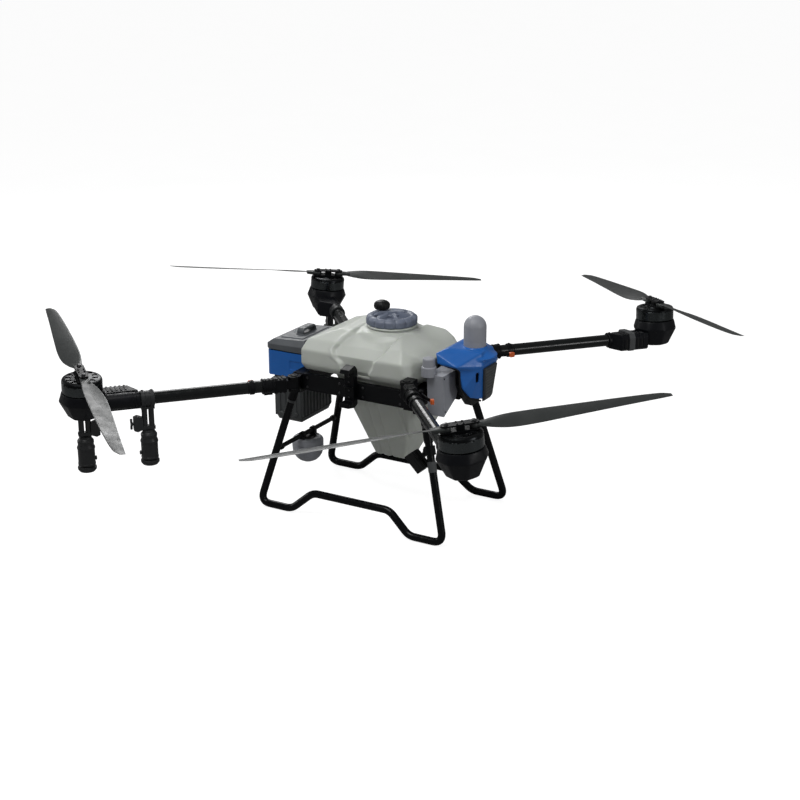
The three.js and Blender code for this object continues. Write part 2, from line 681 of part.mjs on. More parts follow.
// A rotary atomiser nozzle. along is its place on the arm, top is where its posts start, and
// knobSide is 1 when its clamp knob looks outwards.
function nozzleBody(along, top, ring, knobSide) {
  const low = NOZZLE_LOW;
  const clamp = [
    block(10, 44, -8, 8, low + 100, low + 142), rodX(5, 40, 58, 0, low + 121, 8),
    block(52, 60, -5, 5, low + 104, low + 138),
  ];
  const pieces = [
    turned([[0, low], [28, low], [29, low + 60], [26, low + 72], [27, low + 84], [20, low + 96], [0, low + 96]], 20)
      .translate(along, 0, 0),
    post(8, low + 90, top, along - 11, 0, 10),
    post(8, low + 90, top, along + 11, 0, 10),
    ...clamp.map((piece) => (knobSide > 0 ? piece : piece.rotateZ(Math.PI)).translate(along, 0, 0)),
  ];
  if (ring) {
    pieces.push(rodX(27, along - 22, along + 22, 0, 0, 16));
    return cut(join(...pieces), rodX(SOCKET_R, along - 30, along + 30, 0, 0, 16));
  }
  return join(...pieces);
}

function nozzleDisc(along) {
  const top = NOZZLE_LOW - 1;
  return turned([[0, top - 22], [24, top - 22], [30, top - 16], [30, top - 4], [24, top], [0, top]], 20)
    .translate(along, 0, 0);
}

function buildArm({ name, end, x, y, restSpin }) {
  const arm = new THREE.Group();
  arm.position.set(x * HINGE_X, y * HINGE_Y, ARM_Z[end]);
  arm.rotation.z = Math.atan2(y * (MOTOR_Y - HINGE_Y), x * (MOTOR_X - HINGE_X));
  drone.add(arm);
  const leverSide = -x * y;
  const sided = (geometry) => (leverSide > 0 ? geometry : mirrorY(geometry));
  add(`arm_tube_${name}`, armTube(), 'carbon', arm);
  add(`arm_knuckle_${name}`, armKnuckle(), 'frame', arm);
  add(`lock_lever_${name}`, sided(lockLever()), 'lever', arm);
  add(`motor_pod_${name}`, sided(motorPod(end)), 'pod', arm);
  add(`rotor_hub_${name}`, sided(rotorHub(end, restSpin)), 'can', arm);
  add(`blade_a_${name}`, sided(blade(end, 1, restSpin)), 'blade', arm);
  add(`blade_b_${name}`, sided(blade(end, -1, restSpin)), 'blade', arm);
  if (end === 'rear') {
    const podLow = CAN_TOP.rear - ARM_Z.rear - CAN_HEIGHT - BOWL_HEIGHT - 7;
    const places = { outer: [podLow, false, -1], inner: [-22, true, 1] };
    for (const [place, [top, ring, knobSide]] of Object.entries(places)) {
      const along = ARM_LENGTH - NOZZLE_INSET[place];
      add(`nozzle_${place}_${name}`, nozzleBody(along, top, ring, knobSide), 'nozzle', arm);
      add(`nozzle_disc_${place}_${name}`, nozzleDisc(along), 'nozzle', arm);
    }
  }
}

// ---------------------------------------------------------------- assembly

add('rail_right', rail(-RAIL_Y), 'frame');
add('rail_left', rail(RAIL_Y), 'frame');
add('front_crossmember', crossMember(1, ARM_Z.front), 'frame');
add('rear_crossmember', crossMember(-1, ARM_Z.rear), 'frame');
add('arm_clip_right', armClip(-1), 'frame');
add('arm_clip_left', armClip(1), 'frame');
add('skid_right', skid(-1), 'frame');
add('skid_left', skid(1), 'frame');
add('radar_crossbar', radarCrossbar(), 'frame');
add('terrain_radar', terrainRadar(), 'grey');
add('nose_shell', noseShell(), 'blue');
add('avionics_case', avionicsCase(), 'frame');
add('nose_panel', nosePanel(), 'batteryCase');
add('antenna_dome', antennaDome(), 'grey');
add('spray_pump', pump(), 'grey');
add('tail_shell', tailShell(), 'blue');
add('battery_case', batteryCase(), 'batteryCase');
add('battery_lid', batteryLid(), 'batteryLid');
add('tank', tank(), 'tank');
add('tank_cap', tankCap(), 'capGrey');
add('breather_knob', breatherKnob(), 'frame');
add('lamp_bracket', lampBracket(-1), 'frame');
add('work_lamp', lamp(-1), 'frame');
CORNERS.forEach(buildArm);

export default drone;
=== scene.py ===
"""The looks of an agricultural spray drone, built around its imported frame.

Shapes are drawn in millimetres, in the drone's frame or in an arm's own frame, and become
meshes in metres. +X is the nose, +Y the left side, +Z up.
"""
import json
import math

import bmesh
import bpy
from mathutils import Matrix, Vector


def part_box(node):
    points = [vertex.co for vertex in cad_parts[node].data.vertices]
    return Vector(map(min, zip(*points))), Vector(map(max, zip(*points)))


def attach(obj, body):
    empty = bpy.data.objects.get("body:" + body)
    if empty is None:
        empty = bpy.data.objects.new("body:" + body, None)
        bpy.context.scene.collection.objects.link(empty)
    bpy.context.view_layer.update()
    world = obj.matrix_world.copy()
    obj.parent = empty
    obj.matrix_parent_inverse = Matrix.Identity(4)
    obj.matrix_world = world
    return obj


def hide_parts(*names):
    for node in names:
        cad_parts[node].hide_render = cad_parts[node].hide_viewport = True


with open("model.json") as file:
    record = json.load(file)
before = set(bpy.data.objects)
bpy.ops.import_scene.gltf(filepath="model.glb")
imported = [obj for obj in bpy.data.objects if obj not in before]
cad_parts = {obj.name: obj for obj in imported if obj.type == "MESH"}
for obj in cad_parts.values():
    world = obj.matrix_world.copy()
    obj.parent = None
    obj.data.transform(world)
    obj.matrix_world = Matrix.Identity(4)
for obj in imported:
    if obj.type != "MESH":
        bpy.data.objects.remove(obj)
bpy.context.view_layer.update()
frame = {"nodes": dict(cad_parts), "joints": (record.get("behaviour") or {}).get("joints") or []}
JOINTS = {joint["name"]: joint for joint in frame["joints"]}

MM = 0.001


def linked(name, data):
    """An object for that data, in the scene."""
    obj = bpy.data.objects.new(name, data)
    bpy.context.scene.collection.objects.link(obj)
    return obj


def baked(obj):
    """The mesh that an object's modifiers make, to edit."""
    bpy.context.view_layer.update()
    evaluated = obj.evaluated_get(bpy.context.evaluated_depsgraph_get())
    mesh = bmesh.new()
    mesh.from_mesh(evaluated.to_mesh())
    evaluated.to_mesh_clear()
    return mesh


def box_mm(node):
    """The lowest and highest corner of a CAD node, in millimetres."""
    low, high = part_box(node)
    return low / MM, high / MM


# ---------------------------------------------------------------- camera, light and floor

WORLD_LIGHT = 0.22  # how brightly the white surroundings light the drone
CAMERA = {"place": (2.6036, -4.4200, 2.1555), "yaw": 119.85, "pitch": -19.12, "lens": 72}


def make_camera():
    data = bpy.data.cameras.new("camera")
    data.lens = CAMERA["lens"]
    data.sensor_width = 36
    camera = linked("camera", data)
    camera.location = CAMERA["place"]
    tilt = math.radians(90 + CAMERA["pitch"])
    camera.rotation_euler = (tilt, 0, math.radians(CAMERA["yaw"] - 90))
    bpy.context.scene.camera = camera


def area_light(name, place, target, size, power):
    data = bpy.data.lights.new(name, "AREA")
    data.size = size
    data.energy = power
    light = linked(name, data)
    light.location = place
    light.rotation_euler = (Vector(target) - Vector(place)).to_track_quat("-Z", "Y").to_euler()


def make_studio():
    world = bpy.data.worlds.new("studio")
    world.use_nodes = True
    tree = world.node_tree
    background = tree.nodes["Background"]
    background.inputs["Color"].default_value = (1, 1, 1, 1)
    seen = tree.nodes.new("ShaderNodeMapRange")
    seen.inputs["To Min"].default_value = WORLD_LIGHT
    tree.links.new(tree.nodes.new("ShaderNodeLightPath").outputs["Is Camera Ray"], seen.inputs["Value"])
    tree.links.new(seen.outputs[0], background.inputs["Strength"])
    bpy.context.scene.world = world
    bpy.context.scene.view_settings.view_transform = "Standard"
    middle = (0, 0, 0.45)
    area_light("key", (-0.4, -2.0, 4.4), middle, 2.2, 118)
    area_light("back", (-2.6, 2.6, 3.0), middle, 1.6, 60)
    area_light("front", (4.6, -0.6, 1.7), middle, 1.2, 42)
    area_light("edge", (-5.0, -1.0, 1.6), middle, 1.2, 26)
    floor = Shape().box((-30000, -30000, -12), (30000, 30000, -1))
    obj = piece("floor", floor, None, [floor_finish()])


# ---------------------------------------------------------------- materials


class Graph:
    """A material's node tree, with its shader."""

    def __init__(self, name):
        self.material = bpy.data.materials.new(name)
        self.material.use_nodes = True
        self.tree = self.material.node_tree
        self.shader = self.tree.nodes["Principled BSDF"]
        self.place = self.node("ShaderNodeTexCoord").outputs["Object"]

    def node(self, kind, **inputs):
        made = self.tree.nodes.new(kind)
        for key, value in inputs.items():
            self.set(made, key.replace("_", " "), value)
        return made

    def set(self, node, socket, value):
        if isinstance(value, bpy.types.NodeSocket):
            self.tree.links.new(value, node.inputs[socket])
        else:
            node.inputs[socket].default_value = value

    def noise(self, size, detail=3.0, stretch=None):
        """Noise with features of that size, in metres."""
        place = self.place
        if stretch:
            place = self.node("ShaderNodeMapping", Vector=place, Scale=stretch).outputs[0]
        return self.node("ShaderNodeTexNoise", Vector=place, Scale=1 / size, Detail=detail).outputs["Fac"]

    def ramp(self, factor, stops):
        made = self.node("ShaderNodeValToRGB", Fac=factor)
        elements = made.color_ramp.elements
        while len(elements) < len(stops):
            elements.new(0.5)
        for element, (at, colour) in zip(elements, stops):
            element.position = at
            element.color = colour
        return made.outputs["Color"]

    def span(self, factor, low, high):
        made = self.node("ShaderNodeMapRange", Value=factor)
        made.inputs["From Min"].default_value = 0.3
        made.inputs["From Max"].default_value = 0.7
        made.inputs["To Min"].default_value = low
        made.inputs["To Max"].default_value = high
        return made.outputs[0]

    def mix(self, factor, a, b, blend="MIX"):
        made = self.tree.nodes.new("ShaderNodeMix")
        made.data_type = "RGBA"
        made.blend_type = blend
        for index, value in ((0, factor), (6, a), (7, b)):
            if isinstance(value, bpy.types.NodeSocket):
                self.tree.links.new(value, made.inputs[index])
            else:
                made.inputs[index].default_value = value
        return made.outputs[2]


def shade(colour, amount):
    return (*[min(1.0, c * amount) for c in colour], 1)


def finish_of(name, colour, roughness, metallic=0.0, mottle=0.18, patch=0.06, grain=0.25,
              grain_size=0.0011, spread=0.08, coat=0.0, wear=0.25, turned=False, soft=0.0, specular=0.5):
    """A moulded, painted or turned surface: mottled colour, a grain, uneven gloss and paler edges."""
    g = Graph(name)
    patches = g.noise(patch, 5)
    stops = [(0.3, shade(colour, 1 - mottle)), (0.7, shade(colour, 1 + mottle))]
    tint = g.ramp(patches, stops)
    edges = g.node("ShaderNodeNewGeometry").outputs["Pointiness"]
    worn = g.ramp(edges, [(0.52, (0, 0, 0, 1)), (0.62, (wear, wear, wear, 1))])
    tint = g.mix(worn, tint, shade([c + 0.012 for c in colour], 1.8))
    g.set(g.shader, "Base Color", tint)
    g.set(g.shader, "Roughness", g.span(g.noise(patch * 0.35, 4), roughness - spread, roughness + spread))
    g.set(g.shader, "Metallic", metallic)
    g.set(g.shader, "Specular IOR Level", specular)
    if coat:
        g.set(g.shader, "Coat Weight", coat)
        g.set(g.shader, "Coat Roughness", 0.18)
    if soft:
        g.set(g.shader, "Subsurface Weight", soft)
        g.set(g.shader, "Subsurface Radius", (0.7, 0.85, 0.55))
        g.set(g.shader, "Subsurface Scale", 0.012)
    relief = g.noise(grain_size, 2, stretch=(1, 1, 14) if turned else None)
    bump = g.node("ShaderNodeBump", Height=relief, Strength=grain, Distance=0.0004)
    g.set(g.shader, "Normal", bump.outputs[0])
    return g.material


def floor_finish():
    """A white sweep that keeps a faint shadow and throws some light back up."""
    g = Graph("floor_sweep")
    seen = g.node("ShaderNodeLightPath").outputs["Is Camera Ray"]
    speck = g.ramp(g.noise(0.4, 4), [(0.3, (0.30, 0.30, 0.30, 1)), (0.7, (0.32, 0.32, 0.32, 1))])
    g.set(g.shader, "Base Color", g.mix(seen, (0.34, 0.34, 0.34, 1), speck))
    g.set(g.shader, "Roughness", 0.9)
    g.set(g.shader, "Specular IOR Level", 0)
    g.set(g.shader, "Emission Color", (1, 1, 1, 1))
    glow = g.node("ShaderNodeMath", Value=seen)
    glow.operation = "MULTIPLY"
    glow.inputs[1].default_value = 0.9
    g.set(g.shader, "Emission Strength", glow.outputs[0])
    return g.material


TANK = finish_of("tank_polyethylene", (0.49, 0.515, 0.475), 0.42, mottle=0.035, patch=0.09, grain=0.22,
                 grain_size=0.002, wear=0.2, soft=0.2)
BLUE = finish_of("blue_moulding", (0.011, 0.115, 0.42), 0.36, mottle=0.06, grain=0.1, coat=0.12, wear=0.15,
                 specular=0.35)
GREY = finish_of("grey_moulding", (0.27, 0.28, 0.31), 0.48, mottle=0.05, grain=0.3, wear=0.15)
CAP = finish_of("cap_moulding", (0.125, 0.145, 0.195), 0.48, mottle=0.2, patch=0.018, grain=0.3, wear=0.3)
LID = finish_of("lid_moulding", (0.075, 0.082, 0.09), 0.42, mottle=0.1, grain=0.3)
CASE = finish_of("case_moulding", (0.036, 0.040, 0.041), 0.5, mottle=0.15, grain=0.35)
BLACK = finish_of("black_moulding", (0.0035, 0.0038, 0.0042), 0.42, grain=0.2, specular=0.2)
FRAME = finish_of("frame_coat", (0.0022, 0.0025, 0.0032), 0.36, mottle=0.2, grain=0.1, specular=0.13, wear=0.08)
SKID = finish_of("skid_coat", (0.002, 0.0023, 0.003), 0.24, mottle=0.2, grain=0.05, wear=0.05, specular=0.16)
CARBON = finish_of("carbon_tube", (0.004, 0.005, 0.005), 0.22, mottle=0.1, grain=0.01, wear=0.05,
                   specular=0.26)
POD = finish_of("pod_moulding", (0.003, 0.0035, 0.005), 0.42, grain=0.12, specular=0.16, wear=0.08)
CAN = finish_of("anodised_can", (0.010, 0.011, 0.012), 0.3, metallic=0.9, mottle=0.08, grain=0.01,
                turned=True, wear=0.05)
BRIGHT = finish_of("turned_band", (0.060, 0.066, 0.068), 0.26, metallic=1.0, mottle=0.1, patch=0.03, grain=0.01,
                   turned=True, wear=0.1)
STEEL = finish_of("black_oxide_screw", (0.045, 0.046, 0.048), 0.34, metallic=0.8, mottle=0.15, grain=0.1)
BLADE = finish_of("blade_composite", (0.020, 0.023, 0.0225), 0.4, mottle=0.08, patch=0.12, grain=0.2,
                  grain_size=0.0008, wear=0.2, specular=0.4)
NOZZLE = finish_of("nozzle_moulding", (0.016, 0.017, 0.018), 0.42, grain=0.15, specular=0.3)
ORANGE = finish_of("orange_moulding", (0.50, 0.085, 0.010), 0.42, mottle=0.12, grain=0.25)
RUBBER = finish_of("rubber", (0.004, 0.004, 0.004), 0.7, grain=0.5, wear=0.1, specular=0.3)
STRAP = finish_of("strap_webbing", (0.045, 0.048, 0.05), 0.6, mottle=0.1, grain=0.9, grain_size=0.0016)
LENS = finish_of("lens", (0.35, 0.38, 0.4), 0.12, mottle=0.05, grain=0.02, wear=0, coat=0.6)


# ---------------------------------------------------------------- shapes


def turn(degrees, axis):
    return Matrix.Rotation(math.radians(degrees), 4, axis)


def move(x, y, z):
    return Matrix.Translation((x, y, z))


ALONG_X = turn(90, "Y")  # takes a shape drawn about Z to one about X


def smooth_step(value, low, high):
    t = min(1.0, max(0.0, (value - low) / (high - low)))
    return t * t * (3 - 2 * t)


class Shape:
    """Vertices in millimetres and their faces. What is added takes the paint and place set last."""

    def __init__(self, place=None):
        self.verts = []
        self.faces = []
        self.paints = []
        self.paint_now = 0
        self.place = place or Matrix.Identity(4)

    def paint(self, index):
        self.paint_now = index
        return self

    def at(self, place):
        self.place = place
        return self

    def add(self, verts, faces):
        base = len(self.verts)
        self.verts += [self.place @ Vector(v) for v in verts]
        self.faces += [[base + i for i in face] for face in faces]
        self.paints += [self.paint_now] * len(faces)
        return self

    def loft(self, rings, closed=False):
        """Skins rings of equal count, with flat ends unless closed."""
        n = len(rings[0])
        count = len(rings)
        faces = []
        for k in range(count if closed else count - 1):
            a, b = k * n, (k + 1) % count * n
            for i in range(n):
                j = (i + 1) % n
                faces.append([a + i, a + j, b + j, b + i])
        if not closed:
            faces += [list(range(n))[::-1], [(count - 1) * n + i for i in range(n)]]
        return self.add([v for ring in rings for v in ring], faces)

    def lathe(self, profile, sides=48, closed=False, about=None, form=None):
        """Turns [radius, z] pairs about Z. form(angle, radius, z) gives a radius that varies round it."""
        rings = []
        for r, z in profile:
            ring = []
            for i in range(sides):
                angle = 2 * math.pi * i / sides
                radius = form(angle, r, z) if form else r
                ring.append(Vector((radius * math.cos(angle), radius * math.sin(angle), z)))
            rings.append([about @ v for v in ring] if about else ring)
        return self.loft(rings, closed)

    def rod(self, a, b, radius, sides=24, chamfer=0.0):
        a, b = Vector(a), Vector(b)
        length = (b - a).length
        c = min(chamfer, radius * 0.6)
        profile = [(radius, 0), (radius, length)]
        if c:
            profile = [(radius - c, 0), (radius, c), (radius, length - c), (radius - c, length)]
        face = Matrix.Translation(a) @ (b - a).to_track_quat("Z", "Y").to_matrix().to_4x4()
        return self.lathe(profile, sides, about=face)

    def box(self, low, high):
        corners = [(x, y, z) for x in (low[0], high[0]) for y in (low[1], high[1]) for z in (low[2], high[2])]
        faces = [[0, 1, 3, 2], [4, 6, 7, 5], [0, 4, 5, 1], [2, 3, 7, 6], [0, 2, 6, 4], [1, 5, 7, 3]]
        return self.add(corners, faces)

    def hull(self, points):
        mesh = bmesh.new()
        for p in points:
            mesh.verts.new(p)
        made = bmesh.ops.convex_hull(mesh, input=mesh.verts)
        inside = {e for e in made["geom_interior"] + made["geom_unused"] if isinstance(e, bmesh.types.BMVert)}
        bmesh.ops.delete(mesh, geom=list(inside), context="VERTS")
        bmesh.ops.dissolve_limit(mesh, angle_limit=0.02, verts=mesh.verts, edges=mesh.edges)
        mesh.verts.index_update()
        self.add([v.co.copy() for v in mesh.verts], [[v.index for v in f.verts] for f in mesh.faces])
        mesh.free()
        return self

    def hull_both(self, points):
        return self.hull([(x, s * y, z) for x, y, z in points for s in (-1, 1)])

    def tube(self, points, radius, sides=16):
        """A round bar along points, turned as little as its path allows."""
        points = [Vector(p) for p in points]
        ahead = [(points[min(i + 1, len(points) - 1)] - points[max(i - 1, 0)]).normalized()
                 for i in range(len(points))]
        side = ahead[0].orthogonal().normalized()
        rings = []
        for p, d in zip(points, ahead):
            side = (side - d * side.dot(d)).normalized()
            other = d.cross(side)
            turns = [2 * math.pi * i / sides for i in range(sides)]
            rings.append([p + side * (radius * math.cos(t)) + other * (radius * math.sin(t)) for t in turns])
        return self.loft(rings)

    def bolt(self, point, normal, radius=4.0, height=3.0):
        """A socket head screw that stands on a point."""
        face = Matrix.Translation(Vector(point)) @ Vector(normal).to_track_quat("Z", "Y").to_matrix().to_4x4()
        profile = [(radius, -1), (radius, height * 0.8), (radius * 0.85, height), (radius * 0.5, height),
                   (radius * 0.48, height * 0.35)]
        return self.lathe(profile, 12, about=face)


def rounded_path(corners, bend, steps=8):
    """Straight runs joined by round bends. bend is one length, or one for each bend."""
    corners = [Vector(c) for c in corners]
    bends = bend if isinstance(bend, list) else [bend] * (len(corners) - 2)
    points = [corners[0]]
    for before, corner, after, bend in zip(corners, corners[1:], corners[2:], bends):
        start = corner + (before - corner).normalized() * bend
        end = corner + (after - corner).normalized() * bend
        for i in range(steps + 1):
            t = i / steps
            points.append(start * (1 - t) ** 2 + corner * (2 * t * (1 - t)) + end * t * t)
    return points + [corners[-1]]


def mesh_of(name, shape):
    mesh = bmesh.new()
    made = [mesh.verts.new(v * MM) for v in shape.verts]
    for face, paint in zip(shape.faces, shape.paints):
        new = mesh.faces.new([made[i] for i in face])
        new.material_index = paint
        new.smooth = True
    bmesh.ops.recalc_face_normals(mesh, faces=mesh.faces)
    data = bpy.data.meshes.new(name)
    mesh.to_mesh(data)
    mesh.free()
    return data


def soften(obj, bevel, segments=3):
    """Rounds the sharp edges by bevel millimetres and evens out the shading."""
    made = obj.modifiers.new("edges", "BEVEL")
    made.width = bevel * MM
    made.segments = segments
    made.limit_method = "ANGLE"
    made.angle_limit = math.radians(28)
    made.harden_normals = False
    weights = obj.modifiers.new("shading", "WEIGHTED_NORMAL")
    weights.keep_sharp = True


def piece(name, shape, body, paints, stands_for=(), bevel=0.0, segments=3, sharp=34):
    obj = linked(name, mesh_of(name, shape))
    for paint in paints:
        obj.data.materials.append(paint)
    if bevel:
        soften(obj, bevel, segments)
    else:
        obj.data.set_sharp_from_angle(angle=math.radians(sharp))
    if body:
        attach(obj, body)
    if stands_for:
        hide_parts(*stands_for)
    return obj


def keep_node(name, paint, bevel, segments=3):
    """A CAD node that stays, with a material and rounded edges."""
    node = frame["nodes"][name]
    node.data.materials.clear()
    node.data.materials.append(paint)
    weld = node.modifiers.new("weld", "WELD")
    weld.merge_threshold = 0.00002
    soften(node, bevel, segments)


def combine(shape, steps):
    """Joins or cuts a shape by others, in turn, and gives the result as a shape."""
    base = linked("combine_base", mesh_of("combine_base", shape))
    tools = [base]
    for operation, other in steps:
        tool = linked("combine_tool", mesh_of("combine_tool", other))
        tools.append(tool)
        made = base.modifiers.new(operation, "BOOLEAN")
        made.operation = operation
        made.object = tool
        made.solver = "EXACT"
    clean = baked(base)
    bmesh.ops.remove_doubles(clean, verts=clean.verts, dist=0.05 * MM)
    bmesh.ops.dissolve_limit(clean, angle_limit=0.03, verts=clean.verts, edges=clean.edges)
    clean.verts.index_update()
    result = Shape().add([v.co / MM for v in clean.verts], [[v.index for v in f.verts] for f in clean.faces])
    clean.free()
    for tool in tools:
        bpy.data.objects.remove(tool)
    return result


def skinned(name, shape, body, paint, stands_for, voxel, passes, relief=None):
    """A soft moulding: the shape with one even skin, smoothed, and stepped in by relief(point, normal)."""
    blank = linked("blank", mesh_of("blank", shape))
    remesh = blank.modifiers.new("skin", "REMESH")
    remesh.mode = "VOXEL"
    remesh.voxel_size = voxel * MM
    even = blank.modifiers.new("even", "SMOOTH")
    even.iterations = passes
    even.factor = 0.5
    mesh = baked(blank)
    bpy.data.objects.remove(blank)
    mesh.normal_update()
    if relief:
        moves = [(v, v.normal * (relief(v.co / MM, v.normal) * MM)) for v in mesh.verts]
        for v, inward in moves:
            v.co -= inward
        for _ in range(2):
            bmesh.ops.smooth_vert(mesh, verts=mesh.verts, factor=0.5, use_axis_x=True, use_axis_y=True,
                                  use_axis_z=True)
    for face in mesh.faces:
        face.smooth = True
    data = bpy.data.meshes.new(name)
    mesh.to_mesh(data)
    mesh.free()
    data.materials.append(paint)
    made = linked(name, data)
    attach(made, body)
    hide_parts(*stands_for)


# ---------------------------------------------------------------- airframe

SKID_R = 13
SKID_BENDS = [40, 22, 22, 22, 22, 40]
LEG_TOP = Vector((249, 0, 425))
LEG_FOOT = Vector((358.3, 0, SKID_R))
SKID_Y_GROUND = 228
SKID_LEAN = 0.1622
RAIL_LOW = box_mm("rail_right")[0].z


def on_skid(x, z, side):
    return Vector((x, side * (SKID_Y_GROUND - SKID_LEAN * z), z))


def on_leg(z, side, end=1):
    share = (z - LEG_FOOT.z) / (LEG_TOP.z - LEG_FOOT.z)
    return on_skid(end * (LEG_FOOT.x + (LEG_TOP.x - LEG_FOOT.x) * share), z, side)


def make_skid(name, side):
    half = [(LEG_TOP.x, LEG_TOP.z), (LEG_FOOT.x, LEG_FOOT.z), (230, SKID_R), (150, 82)]
    whole = half + [(-x, z) for x, z in reversed(half)]
    shape = Shape().tube(rounded_path([on_skid(x, z, side) for x, z in whole], SKID_BENDS, 10), SKID_R, 28)
    for end in (-1, 1):
        shape.paint(1).rod(on_leg(384, side, end), on_leg(424, side, end), SKID_R + 3, 28, 2)
        shape.paint(2).rod(on_leg(376, side, end), on_leg(384, side, end), SKID_R + 1.4, 28, 1)
        x, y = end * 232, side * 160
        boss_z = (420, RAIL_LOW - 0.4)
        shape.paint(1).hull([(x + a, y + b, z) for a in (-16, 17) for b in (-16, 16) for z in boss_z])
        for b in (-9, 9):
            shape.paint(3).bolt((x + 17, y + b, 429), (1, 0, 0), 3.4, 2.5)
            shape.bolt((x - 16, y + b, 429), (-1, 0, 0), 3.4, 2.5)
    if side < 0:
        shape.paint(1).rod(on_leg(330, side), on_leg(378, side), SKID_R + 2.2, 24, 1.5)
        shape.paint(2).rod(on_leg(238, side), on_leg(272, side), SKID_R + 1.2, 24, 0.6)
    piece(f"{name}_tube", shape, "root", [SKID, FRAME, STRAP, STEEL], (name,))


def make_frame():
    for name in ("rail_right", "rail_left"):
        keep_node(name, FRAME, 2.2)
    for name in ("front_crossmember", "rear_crossmember"):
        keep_node(name, FRAME, 1.8)
    for name in ("arm_clip_right", "arm_clip_left"):
        keep_node(name, FRAME, 3.2, 4)
    screws = Shape()
    for side in (-1, 1):
        low, high = box_mm("rail_right" if side < 0 else "rail_left")
        face = low.y if side < 0 else high.y
        for x in (-178, -52, 38, 178):
            for z in (low.z + 12, high.z - 12):
                screws.bolt((x, face, z), (0, side, 0), 4.2, 2.6)
        clip_low, clip_high = box_mm("arm_clip_right" if side < 0 else "arm_clip_left")
        for z in (452, 476, 505, 525):
            outer = side * 218
            screws.bolt(((clip_low.x + clip_high.x) / 2, outer, z), (0, side, 0), 3.2, 1.6)
    piece("frame_screws", screws, "root", [STEEL])


# ---------------------------------------------------------------- radar and lamp

RADAR_Z = 206


def make_radar():
    low, high = box_mm("terrain_radar")
    x, y = (low.x + high.x) / 2, 0
    top = high.z
    bar_low, bar_high = box_mm("radar_crossbar")
    bar = Shape().rod((x, bar_low.y + 1, RADAR_Z), (x, bar_high.y - 1, RADAR_Z), 8, 24)
    for side in (-1, 1):
        at = side * 34
        bar.paint(1).rod((x, at - 9, RADAR_Z), (x, at + 9, RADAR_Z), 12, 24, 2)
        bar.hull([(x + a, at + b, z) for a in (-11, 11) for b in (-8, 8) for z in (RADAR_Z - 14, RADAR_Z - 4)])
        bar.paint(2).bolt((x, at, RADAR_Z + 11), (0, 0, 1), 3, 2.5)
        end = side * (bar_high.y - 12)
        bar.paint(1).rod((x, end - 7, RADAR_Z), (x, end + 7, RADAR_Z), 11, 24, 1.5)
    piece("radar_bar", bar, "root", [FRAME, BLACK, STEEL], ("radar_crossbar",))
    body = Shape(move(x, y, 0)).lathe([
        (4, top - 92), (20, top - 90.5), (33, top - 84), (43, top - 74), (50, top - 62), (54, top - 48),
        (55, top - 36), (55, top - 27), (53.4, top - 26), (53.4, top - 24), (55, top - 23), (55, top - 12),
        (52, top - 6), (46, top - 1), (8, top - 0.5),
    ], 64)
    body.paint(1).rod((0, 0, top - 3), (0, 0, top + 1), 30, 32)
    piece("radar_housing", body, "root", [GREY, BLACK], ("terrain_radar",))


def make_lamp():
    tilt = 45
    joint = Vector(JOINTS["lamp_tilt"]["pos_m"]) / MM
    ear = 27
    centre = joint - Vector((ear * math.sin(math.radians(tilt)), 0, ear * math.cos(math.radians(tilt))))
    lamp = Shape(Matrix.Translation(centre) @ turn(tilt, "Y"))
    lamp.box((-34, -27, -10), (34, 27, 7))
    for i in range(8):
        y = -25 + i * 6.6
        lamp.box((-32, y, 6), (32, y + 3.2, 15.5 if i not in (3, 4) else 12))
    lamp.box((-35, -28, -13.5), (35, 28, -9))
    lamp.box((-6, -4, 6), (6, 4, ear))
    lamp.rod((0, -4, ear), (0, 4, ear), 6, 20)
    lamp.paint(1).box((-30, -23, -14.2), (30, 23, -13))
    lamp.paint(2)
    for i in range(4):
        for j in range(3):
            lamp.lathe([(5.5, -14.4), (4.2, -14.0), (2.0, -14.6)], 16, about=move(-21 + i * 14, -14 + j * 14, 0))
    piece("lamp_housing", lamp, "lamp", [BLACK, LENS, BRIGHT], ("work_lamp",), bevel=1.0,
          segments=2)
    keep_node("lamp_bracket", FRAME, 0.8, 2)


# ---------------------------------------------------------------- tank

TANK_UPPER = [
    (-196, 174, 505), (180, 172, 505), (-208, 184, 526), (190, 182, 526),
    (-208, 184, 576), (176, 184, 578), (-199, 157, 606), (160, 150, 614),
    (228, 118, 526), (228, 112, 582), (212, 118, 590), (236, 60, 580), (224, 100, 508),
    (-110, 92, 640), (120, 92, 640),
]
TANK_SUMP = [
    (-92, 160, 512), (188, 160, 512), (-14, 150, 402), (186, 144, 420), (-8, 100, 330),
    (180, 90, 345), (2, 50, 200), (113, 50, 200),
]
NECK_X = JOINTS["cap_turn"]["pos_m"][0] / MM
# The recessed waist's rear and front edges, as [height, X].
WAIST_REAR = [(505, -34), (546, -50), (570, -74), (591, -87), (617, -73), (640, -56)]
WAIST_FRONT = [(505, 56), (519, 48), (560, 66), (618, 102), (640, 112)]
WAIST_DEPTH = 10
TANK_VOXEL = 3.2
NOSE_VOXEL = 2.2


def along_table(table, z):
    z = min(table[-1][0], max(table[0][0], z))
    for (z0, x0), (z1, x1) in zip(table, table[1:]):
        if z <= z1:
            return x0 + (x1 - x0) * smooth_step(z, z0, z1)
    return table[-1][1]


def tank_relief(point, normal):
    """How far the moulded wall steps in at a point, in millimetres."""
    x, y, z = point
    step = 0.0
    if z > 505:
        rear, front = along_table(WAIST_REAR, z), along_table(WAIST_FRONT, z)
        inside = smooth_step(x, rear - 3, rear + 4) * (1 - smooth_step(x, front - 3, front + 6))
        step -= 2.5 * math.exp(-((x - rear + 9) / 7) ** 2)
        from_neck = math.hypot(x - NECK_X, y)
        step += WAIST_DEPTH * inside * smooth_step(from_neck, 96, 128)
    elif z < 480:
        side = 1 - smooth_step(abs(normal.x), 0.55, 0.8)
        for rib in (28, 64, 150):
            step += 4.5 * side * math.exp(-((x - rib) / 4) ** 2)
    return step


